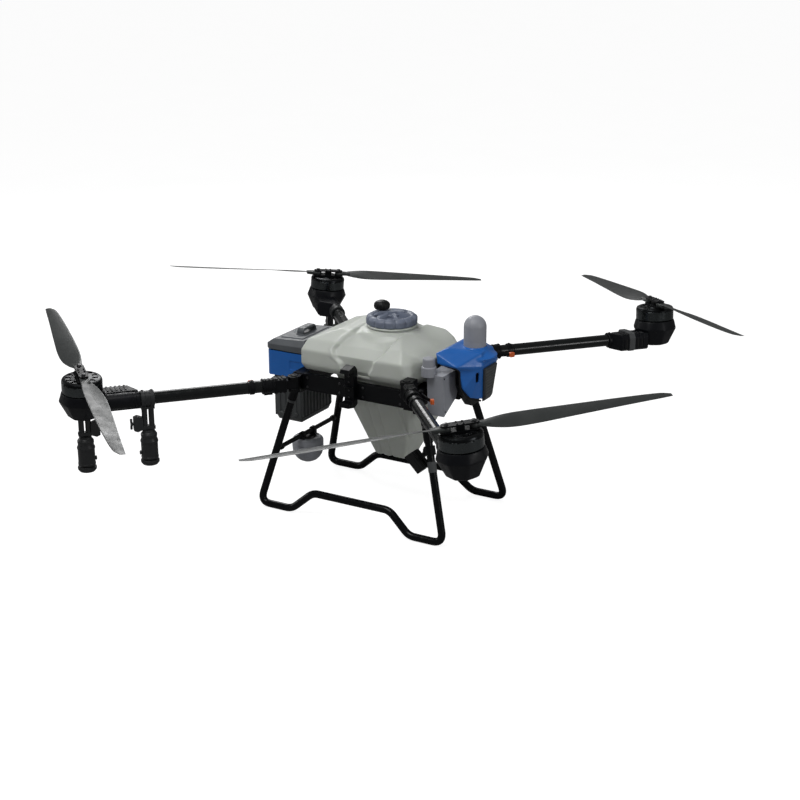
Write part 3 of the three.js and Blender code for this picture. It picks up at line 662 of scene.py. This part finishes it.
def make_tank():
    shape = Shape().hull_both(TANK_UPPER).hull_both(TANK_SUMP)
    shape.lathe([(96, 628), (90, 640), (80, 645), (79, 652), (72, 653), (72, 670)], 64, about=move(NECK_X, 0, 0))
    shape.rod((58, 0, 187), (58, 0, 204), 16, 32)
    skinned("tank_shell", shape, "tank", TANK, ("tank",), TANK_VOXEL, 15, tank_relief)
    collar = Shape(move(NECK_X, 0, 0)).lathe([
        (71, 650), (84, 650), (86, 652), (86, 654), (84, 655.6), (71, 655.6)], 72, closed=True)
    collar.box((-90, -5, 646), (-82, 5, 655))
    piece("tank_neck_ring", collar, "tank", [TANK])


def make_cap():
    low, high = box_mm("tank_cap")
    base = low.z
    top = high.z

    def scallop(angle, r, z):
        if r < 76 or z > base + 30:
            return r
        wave = abs(math.sin(angle * 7))
        return r * (1 - 0.055 * (1 - wave ** 0.45))

    cap = Shape(move(NECK_X, 0, 0)).lathe([
        (74, base), (83, base), (86, base + 2.5), (86.4, base + 18), (84, base + 23), (78, base + 27.5),
        (70, base + 30), (62, base + 28), (57, base + 24), (40, base + 22.5), (38, base + 24), (14, base + 24),
        (13, base + 16.4), (74, base + 16.4),
    ], 196, closed=True, form=scallop)
    centre = move(NECK_X, 0, 0)
    cap.at(centre).lathe([(2, base + 22), (27, base + 22), (28, base + 30), (24, base + 33), (2, base + 33)], 48)
    for i in range(6):
        arm = centre @ turn(60 * i + 14, "Z")
        cap.at(arm).hull([(x, y, z) for x, w, z in (
            (20, 6.5, base + 38), (58, 5, base + 34), (70, 7, base + 27), (20, 9, base + 22), (72, 9, base + 22),
        ) for y in (-w, w)])
    bar = centre @ turn(math.degrees(0.5), "Z")
    cap.at(bar).hull([(x, y, z) for x, y, z in (
        (-40, -8, top - 1), (-40, 8, top - 1), (40, -8, top - 1), (40, 8, top - 1),
        (-60, -11, base + 26), (-60, 11, base + 26), (60, -11, base + 26), (60, 11, base + 26))])
    piece("cap_moulding", cap, "tank_cap", [CAP], ("tank_cap",), bevel=0.9, segments=2)

    knob_low, knob_high = box_mm("breather_knob")
    z0 = knob_low.z
    height = knob_high.z - z0
    middle = (knob_low.x + knob_high.x) / 2

    def ribbed(angle, r, z):
        return r * (1 + 0.035 * math.cos(18 * angle)) if 5 < z - z0 < height * 0.7 else r

    knob = Shape(move(middle, 0, 0)).lathe([
        (20, z0), (23, z0 + 1), (24, z0 + 4), (26.5, z0 + 5), (26.8, z0 + 14), (25.6, z0 + 19), (21, z0 + 25),
        (14, z0 + height - 1.6), (7, z0 + height - 0.2), (3, z0 + height),
    ], 108, form=ribbed)
    piece("breather_cap", knob, "breather", [BLACK], ("breather_knob",))


# ---------------------------------------------------------------- nose, pump and tail

HOOD = [
    (268, 122, 618), (277, 128, 586), (290, 78, 629), (392, 40, 618),
    (345, 126, 583), (404, 54, 575), (345, 110, 566), (396, 60, 560),
]
FAIRING = [(345, 110, 570), (402, 54, 574), (362, 106, 507), (376, 80, 470), (390, 22, 452), (350, 96, 500)]
HOOD_ROOM = [
    (240, 112, 612), (240, 119, 560), (290, 70, 623), (385, 34, 612),
    (342, 116, 577), (396, 46, 572), (342, 100, 540), (380, 60, 540),
]
FAIRING_ROOM = [(330, 100, 572), (395, 46, 572), (354, 98, 510), (368, 74, 478), (382, 18, 440), (300, 84, 440)]
DOME_X = 347
PANEL = [(400, 44, 566), (409, 42, 563), (402, 24, 462), (395, 22, 449), (386, 19, 444), (392, 24, 470)]


def flare(low, high, foot, waist, steps=8):
    """A turned foot that curves in from its rim to a narrow top."""
    profile = []
    for i in range(steps + 1):
        t = i / steps
        profile.append((waist + (foot - waist) * (1 - t) ** 2.2, low + (high - low) * t))
    return profile


def make_nose():
    about = move(DOME_X, 0, 0)
    pedestal = Shape(about).lathe([(74, 592)] + flare(598, 627, 74, 41.5) + [(37.8, 627), (37.8, 621.6)], 96)
    steps = [
        ("UNION", Shape().hull_both(FAIRING)),
        ("UNION", pedestal),
        ("DIFFERENCE", Shape().hull_both(HOOD_ROOM)),
        ("DIFFERENCE", Shape().hull_both(FAIRING_ROOM)),
        ("DIFFERENCE", Shape(about).lathe([(50, 588), (50, 592), (36, 615), (30, 616)], 48)),
    ]
    panel_seat = [(x - 0.6, y + 0.6, z + (0.6 if z > 500 else -0.6)) for x, y, z in PANEL]
    steps.append(("DIFFERENCE", Shape().hull_both(panel_seat)))
    for side in (-1, 1):
        slot = Shape(move(395, side * 69, 540) @ turn(side * 46, "Z") @ turn(-8, "Y"))
        slot.hull([(x, y, z) for x in (-24, 24) for y, z in (
            (-4, -17), (4, -17), (-5, -12), (5, -12), (-5, 12), (5, 12), (-3, 17), (3, 17))])
        steps.append(("DIFFERENCE", slot))
    shell = combine(Shape().hull_both(HOOD), steps)
    skinned("nose_moulding", shell, "root", BLUE, ("nose_shell",), NOSE_VOXEL, 18)
    keep_node("avionics_case", BLACK, 4, 4)
    seals = Shape()
    for side in (-1, 1):
        seals.tube(rounded_path([(x, side * y, z) for x, y, z in (
            (300, 120, 582), (343, 119, 574), (348, 107, 565), (350, 105, 508), (371, 79, 468), (384, 26, 449))],
            8, 4), 3.2, 12)
    piece("nose_seal", seals, "root", [RUBBER])
    panel = Shape().hull_both(PANEL)
    for i in range(9):
        share = (i + 0.5) / 9
        z = 560 - share * 92
        x = 408.5 - share * 6.5
        y = 38 - share * 16
        panel.hull([(x + a, b, z + c) for a, c in ((-4, -3), (-4, 3), (1.6, -2), (1.6, 1)) for b in (-y, y)])
    piece("nose_grille", panel, "root", [CASE], ("nose_panel",), bevel=0.8, segments=2)

    low, high = box_mm("antenna_dome")
    base = low.z
    profile = [(20, base), (37, base), (37, base + 21), (36.5, base + 21.4), (36.5, base + 22), (37, base + 22.4)]
    centre = high.z - 37 - base
    for i in range(17):
        angle = math.radians(90 * i / 16.5)
        profile.append((37 * math.cos(angle), base + centre + 37 * math.sin(angle)))
    dome = Shape(about).lathe(profile, 96)
    piece("dome_shell", dome, "root", [GREY], ("antenna_dome",))


def make_pump():
    x0, x1, y0, y1, top, low = 250, 309, -146, -46, 552, 412
    body = Shape().hull([(x, y, z) for x in (x0, x1) for y, z in (
        (y0, top), (y1, top), (y0 + 10, low), (y1 - 8, low + 44), (y1, low + 60))])
    body.hull([(x, y, z) for x in (x0 + 6, x1 + 0.5) for y, z in (
        (y0 + 12, top - 14), (y1 - 12, top - 14), (y0 + 20, low + 30), (y1 - 14, low + 66))])
    cap = move(254, -140, 0)
    body.at(cap).lathe([
        (10, 546), (25, 546), (25, 574), (24, 576.5), (20.4, 578), (20, 602), (18, 605.2), (4, 606)], 56)
    body.at(Matrix.Identity(4)).paint(1)
    for y, z in ((y0 + 8, top - 10), (y0 + 17, low + 16)):
        body.bolt((x1, y, z), (1, 0, 0), 3.0, 1.6)
    piece("pump_housing", body, "root", [GREY, STEEL], ("spray_pump",), bevel=2.2, segments=3)
    hose = Shape()
    hose.tube(rounded_path([(262, -60, 470), (262, -60, 440), (262, -36, 432), (232, -20, 430)], 12, 6), 7, 16)
    piece("pump_hoses", hose, "root", [RUBBER])


def make_tail():
    low, high = box_mm("battery_case")
    shell = combine(
        Shape().hull_both([
            (-393, 104, 440), (-393, 104, 528), (-382, 114, 440), (-382, 114, 528),
            (-240, 114, 446), (-240, 114, 528)]),
        [("DIFFERENCE", Shape().box((-377, -109, 400), (-264, 109, 600))),
         ("DIFFERENCE", Shape().box((-300, 112.6, 470), (-252, 130, 500))),
         ("DIFFERENCE", Shape().box((-300, -130, 470), (-252, -112.6, 500)))])
    shell.box((-250, -80, 446), (-235.5, 80, 490))
    piece("tail_moulding", shell, "root", [BLUE], ("tail_shell",), bevel=3.4, segments=4)

    x0, x1, y = -375, -266, 98
    z0, z1 = low.z, high.z
    case = Shape().box((x0, -y, z0 + 16), (x1 - 3, y, z1))
    case.hull([(x, s * b, z) for s in (-1, 1) for x, b, z in (
        (x0, y - 8, z0 + 18), (x1, y - 8, z0 + 18), (x0 + 8, y, z0 + 18), (x1 - 8, y, z0 + 18),
        (x0 + 8, y - 12, z0), (x1 - 8, y - 12, z0))])
    for i in range(-4, 6):
        at = (i - 0.5) * 20
        case.hull([(x, at + b, z) for x, w in ((x1 - 5, 6), (x1 + 0.8, 4)) for b in (-w, w)
                   for z in (z0 + 20, 432)])
    for side in (-1, 1):
        for i in range(4):
            at = x0 + 18 + i * 22
            case.hull([(at + a, side * b, z) for b, w in ((y - 1, 7), (y + 3, 5)) for a in (-w, w)
                       for z in (z0 + 22, 430)])
        case.rod((x0 + 30, side * (y - 4), z0 + 24), (x0 + 30, side * (y + 9), z0 + 24), 11, 28, 2)
        case.rod((x1 - 20, side * (y - 4), z0 + 30), (x1 - 20, side * (y + 5), z0 + 30), 7, 28, 1.5)
    piece("battery_shell", case, "battery", [CASE], ("battery_case",), bevel=1.6, segments=2)

    top = box_mm("battery_lid")[0].z
    lid = Shape().hull_both([
        (-395, 106, top + 2), (-395, 106, top + 20), (-383, 116, top + 2), (-383, 116, top + 20),
        (-236, 116, top + 2), (-236, 116, top + 24), (-373, 100, top + 36), (-250, 100, top + 44)])
    lid.hull_both([(x, y, z) for x, y in ((-391, 102), (-379, 112), (-240, 112)) for z in (top, top + 6)])
    lid.hull_both([(-357, 84, top + 36), (-262, 84, top + 42), (-353, 80, top + 41), (-266, 80, top + 46)])
    grip = rounded_path([(-303, -37, top + 40), (-303, -37, top + 62), (-303, 37, top + 62), (-303, 37, top + 40)],
                        13, 8)
    lid.loft([[p + Vector((14 * c, 0, 0)) + across * (4.6 * s) for c, s in (
        (1, 0.4), (0.85, 1), (-0.85, 1), (-1, 0.4), (-1, -0.4), (-0.85, -1), (0.85, -1), (1, -0.4))]
        for p, across in zip(grip, [
            Vector((0, -(b - a).z, (b - a).y)).normalized()
            for a, b in zip(grip[:1] + grip[:-1], grip[1:] + grip[-1:])])])
    for side in (-1, 1):
        lid.hull([(-303 + a, side * 37 + b, z) for a, b, z in (
            (-18, -9, top + 38), (18, -9, top + 38), (-18, 9, top + 38), (18, 9, top + 38),
            (-14, -6, top + 47), (14, -6, top + 47), (-14, 6, top + 47), (14, 6, top + 47))])
    piece("battery_lid_moulding", lid, "battery", [LID], ("battery_lid",), bevel=3.0, segments=3)
    lights = Shape()
    for i in range(4):
        lights.box((-344, -18 + i * 10, top + 41), (-338, -12 + i * 10, top + 43.2))
    lights.paint(1).rod((-341, 30, top + 40), (-341, 30, top + 44), 7, 24, 1)
    piece("battery_lights", lights, "battery", [LENS, BLACK])


# ---------------------------------------------------------------- arms

TUBE_R = 20.2
POD_INSET = 64
CAN_R = 65
CAN_HEIGHT = 46
BOWL_R = 75
BOWL_HEIGHT = 88
SPEED_BOX = {"root": 178, "outer": 150, "out": 52, "width": 66, "low": -26, "high": 32}
NOZZLE_LOW = -204
NOZZLE_INSET = {"outer": -1, "inner": 204}
BLADE_PIVOT = 40
BLADE_LENGTH = 576
BLADE_PLANE = 12
ROOT_HALF = 6.5
ROTOR_TILT = 5


class Corner:
    """One arm's names and places. In its own frame X runs out from the fold pin and the lever is at +Y."""

    def __init__(self, name):
        self.name = name
        self.end = name.split("_")[0]
        hinge = Vector(JOINTS[f"arm_fold_{name}"]["pos_m"]) / MM
        motor = Vector(JOINTS[f"rotor_spin_{name}"]["pos_m"]) / MM
        lever = Vector(JOINTS[f"lever_{name}"]["pos_m"]) / MM
        reach = motor - hinge
        self.length = math.hypot(reach.x, reach.y)
        self.rise = reach.z
        side = reach.xy.cross((lever - hinge).xy)
        mirror = Matrix.Diagonal((1, 1 if side > 0 else -1, 1, 1))
        self.frame = Matrix.Translation(hinge) @ Matrix.Rotation(math.atan2(reach.y, reach.x), 4, "Z") @ mirror
        self.pod = self.frame @ move(self.length, 0, self.rise) @ turn(ROTOR_TILT, "X")
        bolt = self.pod.inverted() @ (Vector(JOINTS[f"blade_a_fold_{name}"]["pos_m"]) / MM)
        self.rotor = self.pod @ Matrix.Rotation(math.atan2(-bolt.x, bolt.y), 4, "Z")

    def along(self, x):
        """A frame about the tube, with Z along it, that starts x out from the fold pin."""
        return self.frame @ move(x, 0, 0) @ ALONG_X


def make_tube(corner):
    r = TUBE_R
    end = corner.length - POD_INSET
    tube = Shape(corner.along(0)).lathe([
        (r - 2.6, 76.3), (r, 76.3), (r, end), (r - 2.6, end)], 64, closed=True)
    for start, stop, radius in ((138, 153, 23.6), (157, 160, 21.4)):
        tube.paint(1).lathe([(r - 1, start), (radius - 1, start), (radius, start + 1), (radius, stop - 1),
                             (radius - 1, stop), (r - 1, stop)], 64, closed=True)
    tube.paint(2).at(corner.frame).bolt((145, 0, 23), (0, 0, 1), 3.4, 3)
    piece(f"tube_{corner.name}", tube, f"arm_{corner.name}", [CARBON, FRAME, STEEL],
          (f"arm_tube_{corner.name}",))


def make_knuckle(corner):
    keep_node(f"arm_knuckle_{corner.name}", FRAME, 1.6)
    trim = Shape(corner.along(0))
    for start, radius in ((71, 26.2), (84, 25.4), (97, 25.4), (106, 26.4)):
        trim.lathe([(23, start), (radius - 0.8, start), (radius, start + 0.8), (radius, start + 4.2),
                    (radius - 0.8, start + 5), (23, start + 5)], 56, closed=True)
    trim.at(corner.frame).paint(1)
    for x, y in ((36, 13), (36, -13), (65, 13), (65, -13)):
        for s in (-1, 1):
            trim.bolt((x, y, s * 25.6), (0, 0, s), 3.2, 2.2)
    trim.paint(0).hull([(x, y, z) for x in (76, 104) for y, z in ((-6, -23), (6, -23), (-4, -31), (4, -31))])
    trim.paint(1).bolt((90, 4, -27), (0, 1, 0), 3, 3)
    piece(f"knuckle_trim_{corner.name}", trim, f"arm_{corner.name}", [FRAME, STEEL])
    pins = Shape(corner.frame)
    for s in (-1, 1):
        pins.lathe([(13, s * 26.6), (13, s * 29), (11.5, s * 30.2), (6, s * 30.4), (5, s * 29)], 32)
    for angle in (100, 180, 260):
        a = math.radians(angle)
        pins.paint(1).bolt((17.5 * math.cos(a), 17.5 * math.sin(a), 26.8), (0, 0, 1), 2.4, 1.8)
    piece(f"fold_pin_caps_{corner.name}", pins, "root", [FRAME, STEEL])


def make_lever(corner):
    lever = Shape(corner.frame)
    path = rounded_path([(62, 32, 0), (80, 35, 0), (104, 42, 0), (131, 51, 0)], 12, 6)
    lever.loft([[p + Vector((0, c * w, s * h)) for c, s in (
        (1, 0), (0.75, 0.75), (0, 1), (-0.75, 0.75), (-1, 0), (-0.75, -0.75), (0, -1), (0.75, -0.75))]
        for i, p in enumerate(path)
        for w, h in [(4.6 - 1.4 * i / len(path), 9 - 3 * i / len(path))]])
    lever.rod((62, 32, -14), (62, 32, 14), 7.5, 28, 1)
    lever.paint(1).hull([(x, y, z) for x, w, h in ((127, 4, 6), (130, 5.5, 8), (144, 5, 7.5), (146, 3, 5))
                         for y in (52 - w, 52 + w) for z in (-h, h)])
    lever.paint(2).bolt((62, 32, 14), (0, 0, 1), 3.6, 2.6)
    piece(f"lever_{corner.name}", lever, f"lever_{corner.name}", [FRAME, ORANGE, STEEL],
          (f"lock_lever_{corner.name}",), bevel=0.8, segments=2)


def faceted(sides, full_at, round_at):
    """A form that goes from round at one height to a soft polygon at another."""

    def form(angle, r, z):
        amount = 1 - smooth_step(z, full_at, round_at)
        wedge = math.pi / sides
        within = (angle % (2 * wedge)) - wedge
        flat = math.cos(wedge * 0.92) / max(math.cos(within), math.cos(wedge * 0.92))
        return r * (1 - amount * (1 - flat * 1.02) * 0.9)

    return form


def make_pod(corner):
    top = -CAN_HEIGHT - 1
    low = -CAN_HEIGHT - BOWL_HEIGHT
    r = BOWL_R
    pod = Shape(corner.pod).lathe([
        (6, low + 2), (28, low + 2), (30, low), (40, low), (44, low + 1.5), (50, low + 6), (r - 2, top - 33),
        (r, top - 29), (r, top - 25), (r - 7, top - 4), (r - 9, top), (50, top), (48, top - 4),
    ], 128, form=faceted(8, top - 34, top - 8))
    for angle in range(0, 360, 45):
        a = math.radians(angle + 22.5)
        pod.paint(3).hull([(math.cos(a + da) * rr, math.sin(a + da) * rr, z) for da in (-0.03, 0.03)
                           for rr, z in ((60, top - 42), (69.5, top - 36), (62, top - 26), (70.5, top - 27))])
    pod.paint(0).at(corner.along(0))
    near, far = corner.length - 180, corner.length - 30
    pod.lathe([(21.2, near), (25, near), (26.5, near + 1.5), (26.5, near + 12), (25, near + 13.5), (25, near + 22),
               (26.4, near + 23.5), (26.4, far - 3), (25, far), (21.2, far)], 56, closed=True)
    pod.at(corner.frame)
    under, high, width = SPEED_BOX["low"], SPEED_BOX["high"], SPEED_BOX["width"]
    x0, outer, x1 = (corner.length - SPEED_BOX[key] for key in ("root", "outer", "out"))
    ends = [(x, 12, z) for x in (x0, x1) for z in (under, high - 4)]
    sides = [(x, y, z) for x in (outer, x1) for y, z in (
        (width, under + 8), (width, high - 12), (width - 8, high), (width - 8, under))]
    pod.hull(ends + sides)
    for i in range(6):
        x = outer + 7 + i * 14.4
        pod.hull([(x + a, y, z) for a in (0, 6) for y, z in (
            (width - 4, under + 9), (width + 2, under + 10), (width + 2, high - 13), (width - 7, high + 2.4),
            (20, high - 1), (20, high - 6))])
    pod.paint(3)
    for i in range(5):
        x = outer + 14 + i * 14.4
        pod.hull([(x + a, y, z) for a in (0, 6) for y, z in (
            (width - 3, under + 12), (width + 0.4, under + 12), (width + 0.4, high - 15), (width - 3, high - 12))])
    pod.paint(1)
    for x in (x0 + 6, x1 - 22):
        pod.bolt((x, 0, 26), (0, 0, 1), 3.4, 2.6)
    if corner.end == "rear":
        pod.paint(0).hull([(x, y, z) for x in (x0 - 2, x1 - 4) for y, z in (
            (-8, -23), (8, -23), (-6, -30), (6, -30))])
        pod.paint(2).hull([(x, y, z) for x in (near + 2, near + 11) for y, z in (
            (-9, -22), (9, -22), (-6, -29), (6, -29))])
    if corner.name == "front_left":
        pod.paint(4).hull([(x, y, z) for x in (outer + 26, outer + 47) for y, z in (
            (-27, -20), (-27, 22), (-20, 29), (20, high + 3), (width - 7, high + 3.4), (width + 3, high - 12),
            (width + 3, under + 8), (width - 8, under - 2), (10, under - 4), (-16, -28))])
    piece(f"pod_{corner.name}", pod, f"arm_{corner.name}", [POD, STEEL, BRIGHT, RUBBER, STRAP],
          (f"motor_pod_{corner.name}",), bevel=1.2, segments=2)


def make_hub(corner):
    hub = Shape(corner.rotor).paint(1).lathe([
        (40, -CAN_HEIGHT), (61, -CAN_HEIGHT), (62.5, -CAN_HEIGHT + 1), (CAN_R, -CAN_HEIGHT + 3),
        (CAN_R, -13), (64.4, -12), (40, -12)], 96)
    hub.paint(0).lathe([
        (40, -12), (64, -12), (CAN_R, -11), (CAN_R - 0.6, -7), (62.4, -3), (58, -0.6), (52, 0.4), (50, -3),
        (36, -3), (34, 0.6), (22, 1), (20, -2)], 96)
    for i in range(18):
        a = math.radians(20 * i)
        hub.paint(0).hull([(math.cos(a + da) * rr, math.sin(a + da) * rr, z) for da in (-0.05, 0.05)
                           for rr, z in ((60, -14), (CAN_R + 0.3, -14.5), (CAN_R + 0.3, -10), (60, -3))])
    for i in range(12):
        spoke = corner.rotor @ turn(30 * i, "Z")
        hub.at(spoke).hull([(x, y, z) for x, w in ((30, 3.5), (54, 5)) for y in (-w, w) for z in (-6, -0.6)])
    hub.at(corner.rotor)
    low, high = BLADE_PLANE - ROOT_HALF - 0.3, BLADE_PLANE + ROOT_HALF + 0.3
    for z0, z1, w, reach in ((low - 5, low, 17, 58), (high, high + 5, 15, 56)):
        outline = []
        for sy in (1, -1):
            for i in range(9):
                a = math.radians(180 * i / 8)
                outline.append((w * math.cos(a), sy * (reach - w) + sy * w * math.sin(a)) if sy > 0
                               else (-w * math.cos(a), sy * (reach - w) - w * math.sin(a)))
        hub.paint(2).loft([[(x, y, z) for x, y in outline] for z in (z0, z1)])
    hub.paint(2).lathe([(12, -2), (18, 0), (19, low - 4), (12, low - 4)], 40)
    hub.paint(2).box((-8, -12, low - 0.5), (8, 12, high + 0.5))
    hub.paint(3)
    for y in (-BLADE_PIVOT, BLADE_PIVOT):
        hub.lathe([(4.4, low), (4.4, high + 5), (8, high + 5), (8, high + 6.4), (6.4, high + 6.8),
                   (6.4, high + 10), (3, high + 10.6)], 24, about=move(0, y, 0))
    for x, y in ((9, 9), (-9, 9), (9, -9), (-9, -9)):
        hub.bolt((x, y, high + 5), (0, 0, 1), 3, 3)
    piece(f"rotor_{corner.name}", hub, f"rotor_{corner.name}", [CAN, BRIGHT, FRAME, STEEL],
          (f"rotor_hub_{corner.name}",), bevel=0.7, segments=2)


BLADE_STATIONS = [
    # share of the length, chord, thickness, pitch in degrees, sweep of the chord's middle
    (0.02, 27, 11, 2, 0), (0.07, 42, 10, 14, 4), (0.16, 62, 8, 18, 8), (0.28, 69, 7, 15, 9),
    (0.5, 62, 6, 11, 6), (0.75, 49, 4.5, 8, 3), (0.95, 34, 3.4, 6, 4), (1.0, 18, 2.6, 6, 10),
]
BLADE_STEPS = 46


def blade_station(share):
    """Chord, thickness, pitch and sweep at a share of the length, on a smooth curve through the stations."""
    rows = BLADE_STATIONS
    k = max(i for i in range(len(rows) - 1) if rows[i][0] <= share)
    t = (share - rows[k][0]) / (rows[k + 1][0] - rows[k][0])
    before, a, b, after = rows[max(0, k - 1)], rows[k], rows[k + 1], rows[min(len(rows) - 1, k + 2)]
    values = []
    for n in range(1, 5):
        width = b[0] - a[0]
        slope_a = (b[n] - before[n]) / max(1e-6, b[0] - before[0]) * width
        slope_b = (after[n] - a[n]) / max(1e-6, after[0] - a[0]) * width
        h = (2 * t ** 3 - 3 * t ** 2 + 1, t ** 3 - 2 * t ** 2 + t, -2 * t ** 3 + 3 * t ** 2, t ** 3 - t ** 2)
        values.append(a[n] * h[0] + slope_a * h[1] + b[n] * h[2] + slope_b * h[3])
    return values


def airfoil(points=12):
    """A cambered section with its leading edge at -0.5, as [chord, thickness] shares."""
    upper = []
    lower = []
    for i in range(points + 1):
        x = 0.5 - 0.5 * math.cos(math.pi * i / points)
        fall = 0.126 * x + 0.3516 * x ** 2 - 0.2843 * x ** 3 + 0.1015 * x ** 4
        half = 3.68 * (0.2969 * math.sqrt(x) - fall)
        camber = 0.9 * x * (1 - x)
        upper.append((x - 0.5, camber + half * 0.55))
        lower.append((x - 0.5, camber - half * 0.45 - 0.12 * math.sin(math.pi * x)))
    lower[-1] = (0.5, -0.02)
    upper[-1] = (0.5, 0.05)
    return upper + lower[::-1][:-1]


def make_blade(corner, letter):
    place = corner.rotor @ (turn(180, "Z") if letter == "b" else Matrix.Identity(4))
    section = airfoil()
    rings = []
    for k in range(BLADE_STEPS + 1):
        share = 0.02 + 0.98 * (1 - (1 - k / BLADE_STEPS) ** 1.25)
        chord, thick, pitch, sweep = blade_station(share)
        c, s = math.cos(math.radians(pitch)), math.sin(math.radians(pitch))
        ring = []
        for x, z in section:
            x, z = x * chord, z * thick * 0.9
            ring.append((x * c - z * s + sweep, BLADE_PIVOT + share * BLADE_LENGTH, BLADE_PLANE - x * s + z * c))
        rings.append(ring)
    blade = Shape(place).loft(rings)
    z0, z1 = BLADE_PLANE - ROOT_HALF, BLADE_PLANE + ROOT_HALF
    blade.at(place @ move(0, BLADE_PIVOT, 0)).lathe([
        (4.6, z0), (12.5, z0), (13.5, z0 + 1), (13.5, z1 - 1), (12.5, z1), (4.6, z1)], 40, closed=True)
    blade.at(place).hull([(x, BLADE_PIVOT + y, z) for y, w, h in ((4, 12, 6), (26, 12.5, 5.6), (44, 14, 4.2))
                          for x in (-w, w) for z in (BLADE_PLANE - h, BLADE_PLANE + h)])
    piece(f"propeller_{letter}_{corner.name}", blade, f"blade_{letter}_{corner.name}", [BLADE],
          (f"blade_{letter}_{corner.name}",), sharp=50)


def make_nozzle(corner, place):
    along = corner.length - NOZZLE_INSET[place]
    node = f"nozzle_{place}_{corner.name}"
    low = NOZZLE_LOW
    top = {"outer": -CAN_HEIGHT - BOWL_HEIGHT + corner.rise - 1, "inner": -22}[place]
    about = corner.frame @ move(along, 0, 0) @ turn(0 if place == "inner" else 180, "Z")

    def ribbed(angle, r, z):
        return r * (1 + 0.02 * math.cos(24 * angle)) if low + 8 < z < low + 54 else r

    body = Shape(about).lathe([
        (12, low), (26, low), (28.4, low + 1.5), (28.8, low + 7), (27.6, low + 8), (27.6, low + 55),
        (29, low + 56),
        (29.4, low + 61), (27, low + 66), (25.4, low + 72), (26.6, low + 76), (27, low + 83), (24, low + 88),
        (20.5, low + 92), (19.5, low + 97), (8, low + 98)], 96, form=ribbed)
    for dx in (-11, 11):
        body.rod((dx, 0, low + 90), (dx, 0, top + 3), 9.2, 32)
        body.paint(1).rod((dx, 0, top - 9), (dx, 0, top - 3), 10, 32, 1).paint(0)
    body.hull([(x, y, z) for x in (-22, 22) for y in (-10, 10) for z in (low + 100, low + 112)])
    body.hull([(x, y, z) for x, h in ((18, 20), (36, 27), (48, 22)) for y in (-11, 11)
               for z in (low + 121 - h, low + 121 + h)])
    body.paint(1).rod((42, 0, low + 121), (52, 0, low + 121), 5, 20)
    body.paint(0).rod((51, 0, low + 121), (58, 0, low + 121), 8, 24, 1)
    for s in (-1, 1):
        body.hull([(x, y, low + 121 + s * z) for x in (52, 59) for y, z in (
            (-3, 5), (3, 5), (-5, 15), (5, 15), (0, 19))])
    body.paint(0).rod((20, 0, low + 20), (33, 0, low + 20), 7, 24, 1)
    if place == "inner":
        body.at(corner.along(along)).lathe([
            (21.2, -22), (26, -22), (27.4, -20.5), (27.4, -9), (25.6, -7.5), (25.6, 7.5), (27.4, 9), (27.4, 20.5),
            (26, 22), (21.2, 22)], 56, closed=True)
        body.at(about)
        for x in (-15, 15):
            body.paint(1).bolt((x, 0, 27), (0, 0, 1), 3.4, 3)
        body.paint(0).hull([(x, y, z) for x in (-22, 22) for y in (-11, 11) for z in (-34, -25)])
    piece(f"{node}_body", body, f"arm_{corner.name}", [NOZZLE, STEEL], (node,),
          bevel=0.8, segments=2)

    disc_top = low - 1

    def toothed(angle, r, z):
        return r * (1 + 0.02 * math.cos(36 * angle)) if r > 29 else r

    disc = Shape(about).lathe([
        (3, disc_top - 22), (20, disc_top - 22), (25, disc_top - 20), (29, disc_top - 15), (30, disc_top - 12),
        (30, disc_top - 5), (27, disc_top - 4), (24, disc_top - 1), (10, disc_top - 0.4)], 144, form=toothed)
    disc.paint(1).lathe([(2, disc_top - 23), (7, disc_top - 23), (8, disc_top - 21), (2, disc_top - 21)], 24)
    piece(f"atomiser_{place}_{corner.name}", disc, f"disc_{place}_{corner.name}", [NOZZLE, STEEL],
          (f"nozzle_disc_{place}_{corner.name}",))


def make_arm(corner):
    make_tube(corner)
    make_knuckle(corner)
    make_lever(corner)
    make_pod(corner)
    make_hub(corner)
    for letter in "ab":
        make_blade(corner, letter)
    if corner.end == "rear":
        for place in NOZZLE_INSET:
            make_nozzle(corner, place)


# ---------------------------------------------------------------- assembly

make_camera()
make_studio()
make_skid("skid_right", -1)
make_skid("skid_left", 1)
make_frame()
make_radar()
make_lamp()
make_tank()
make_cap()
make_nose()
make_pump()
make_tail()
for arm_name in ("front_right", "front_left", "rear_right", "rear_left"):
    make_arm(Corner(arm_name))
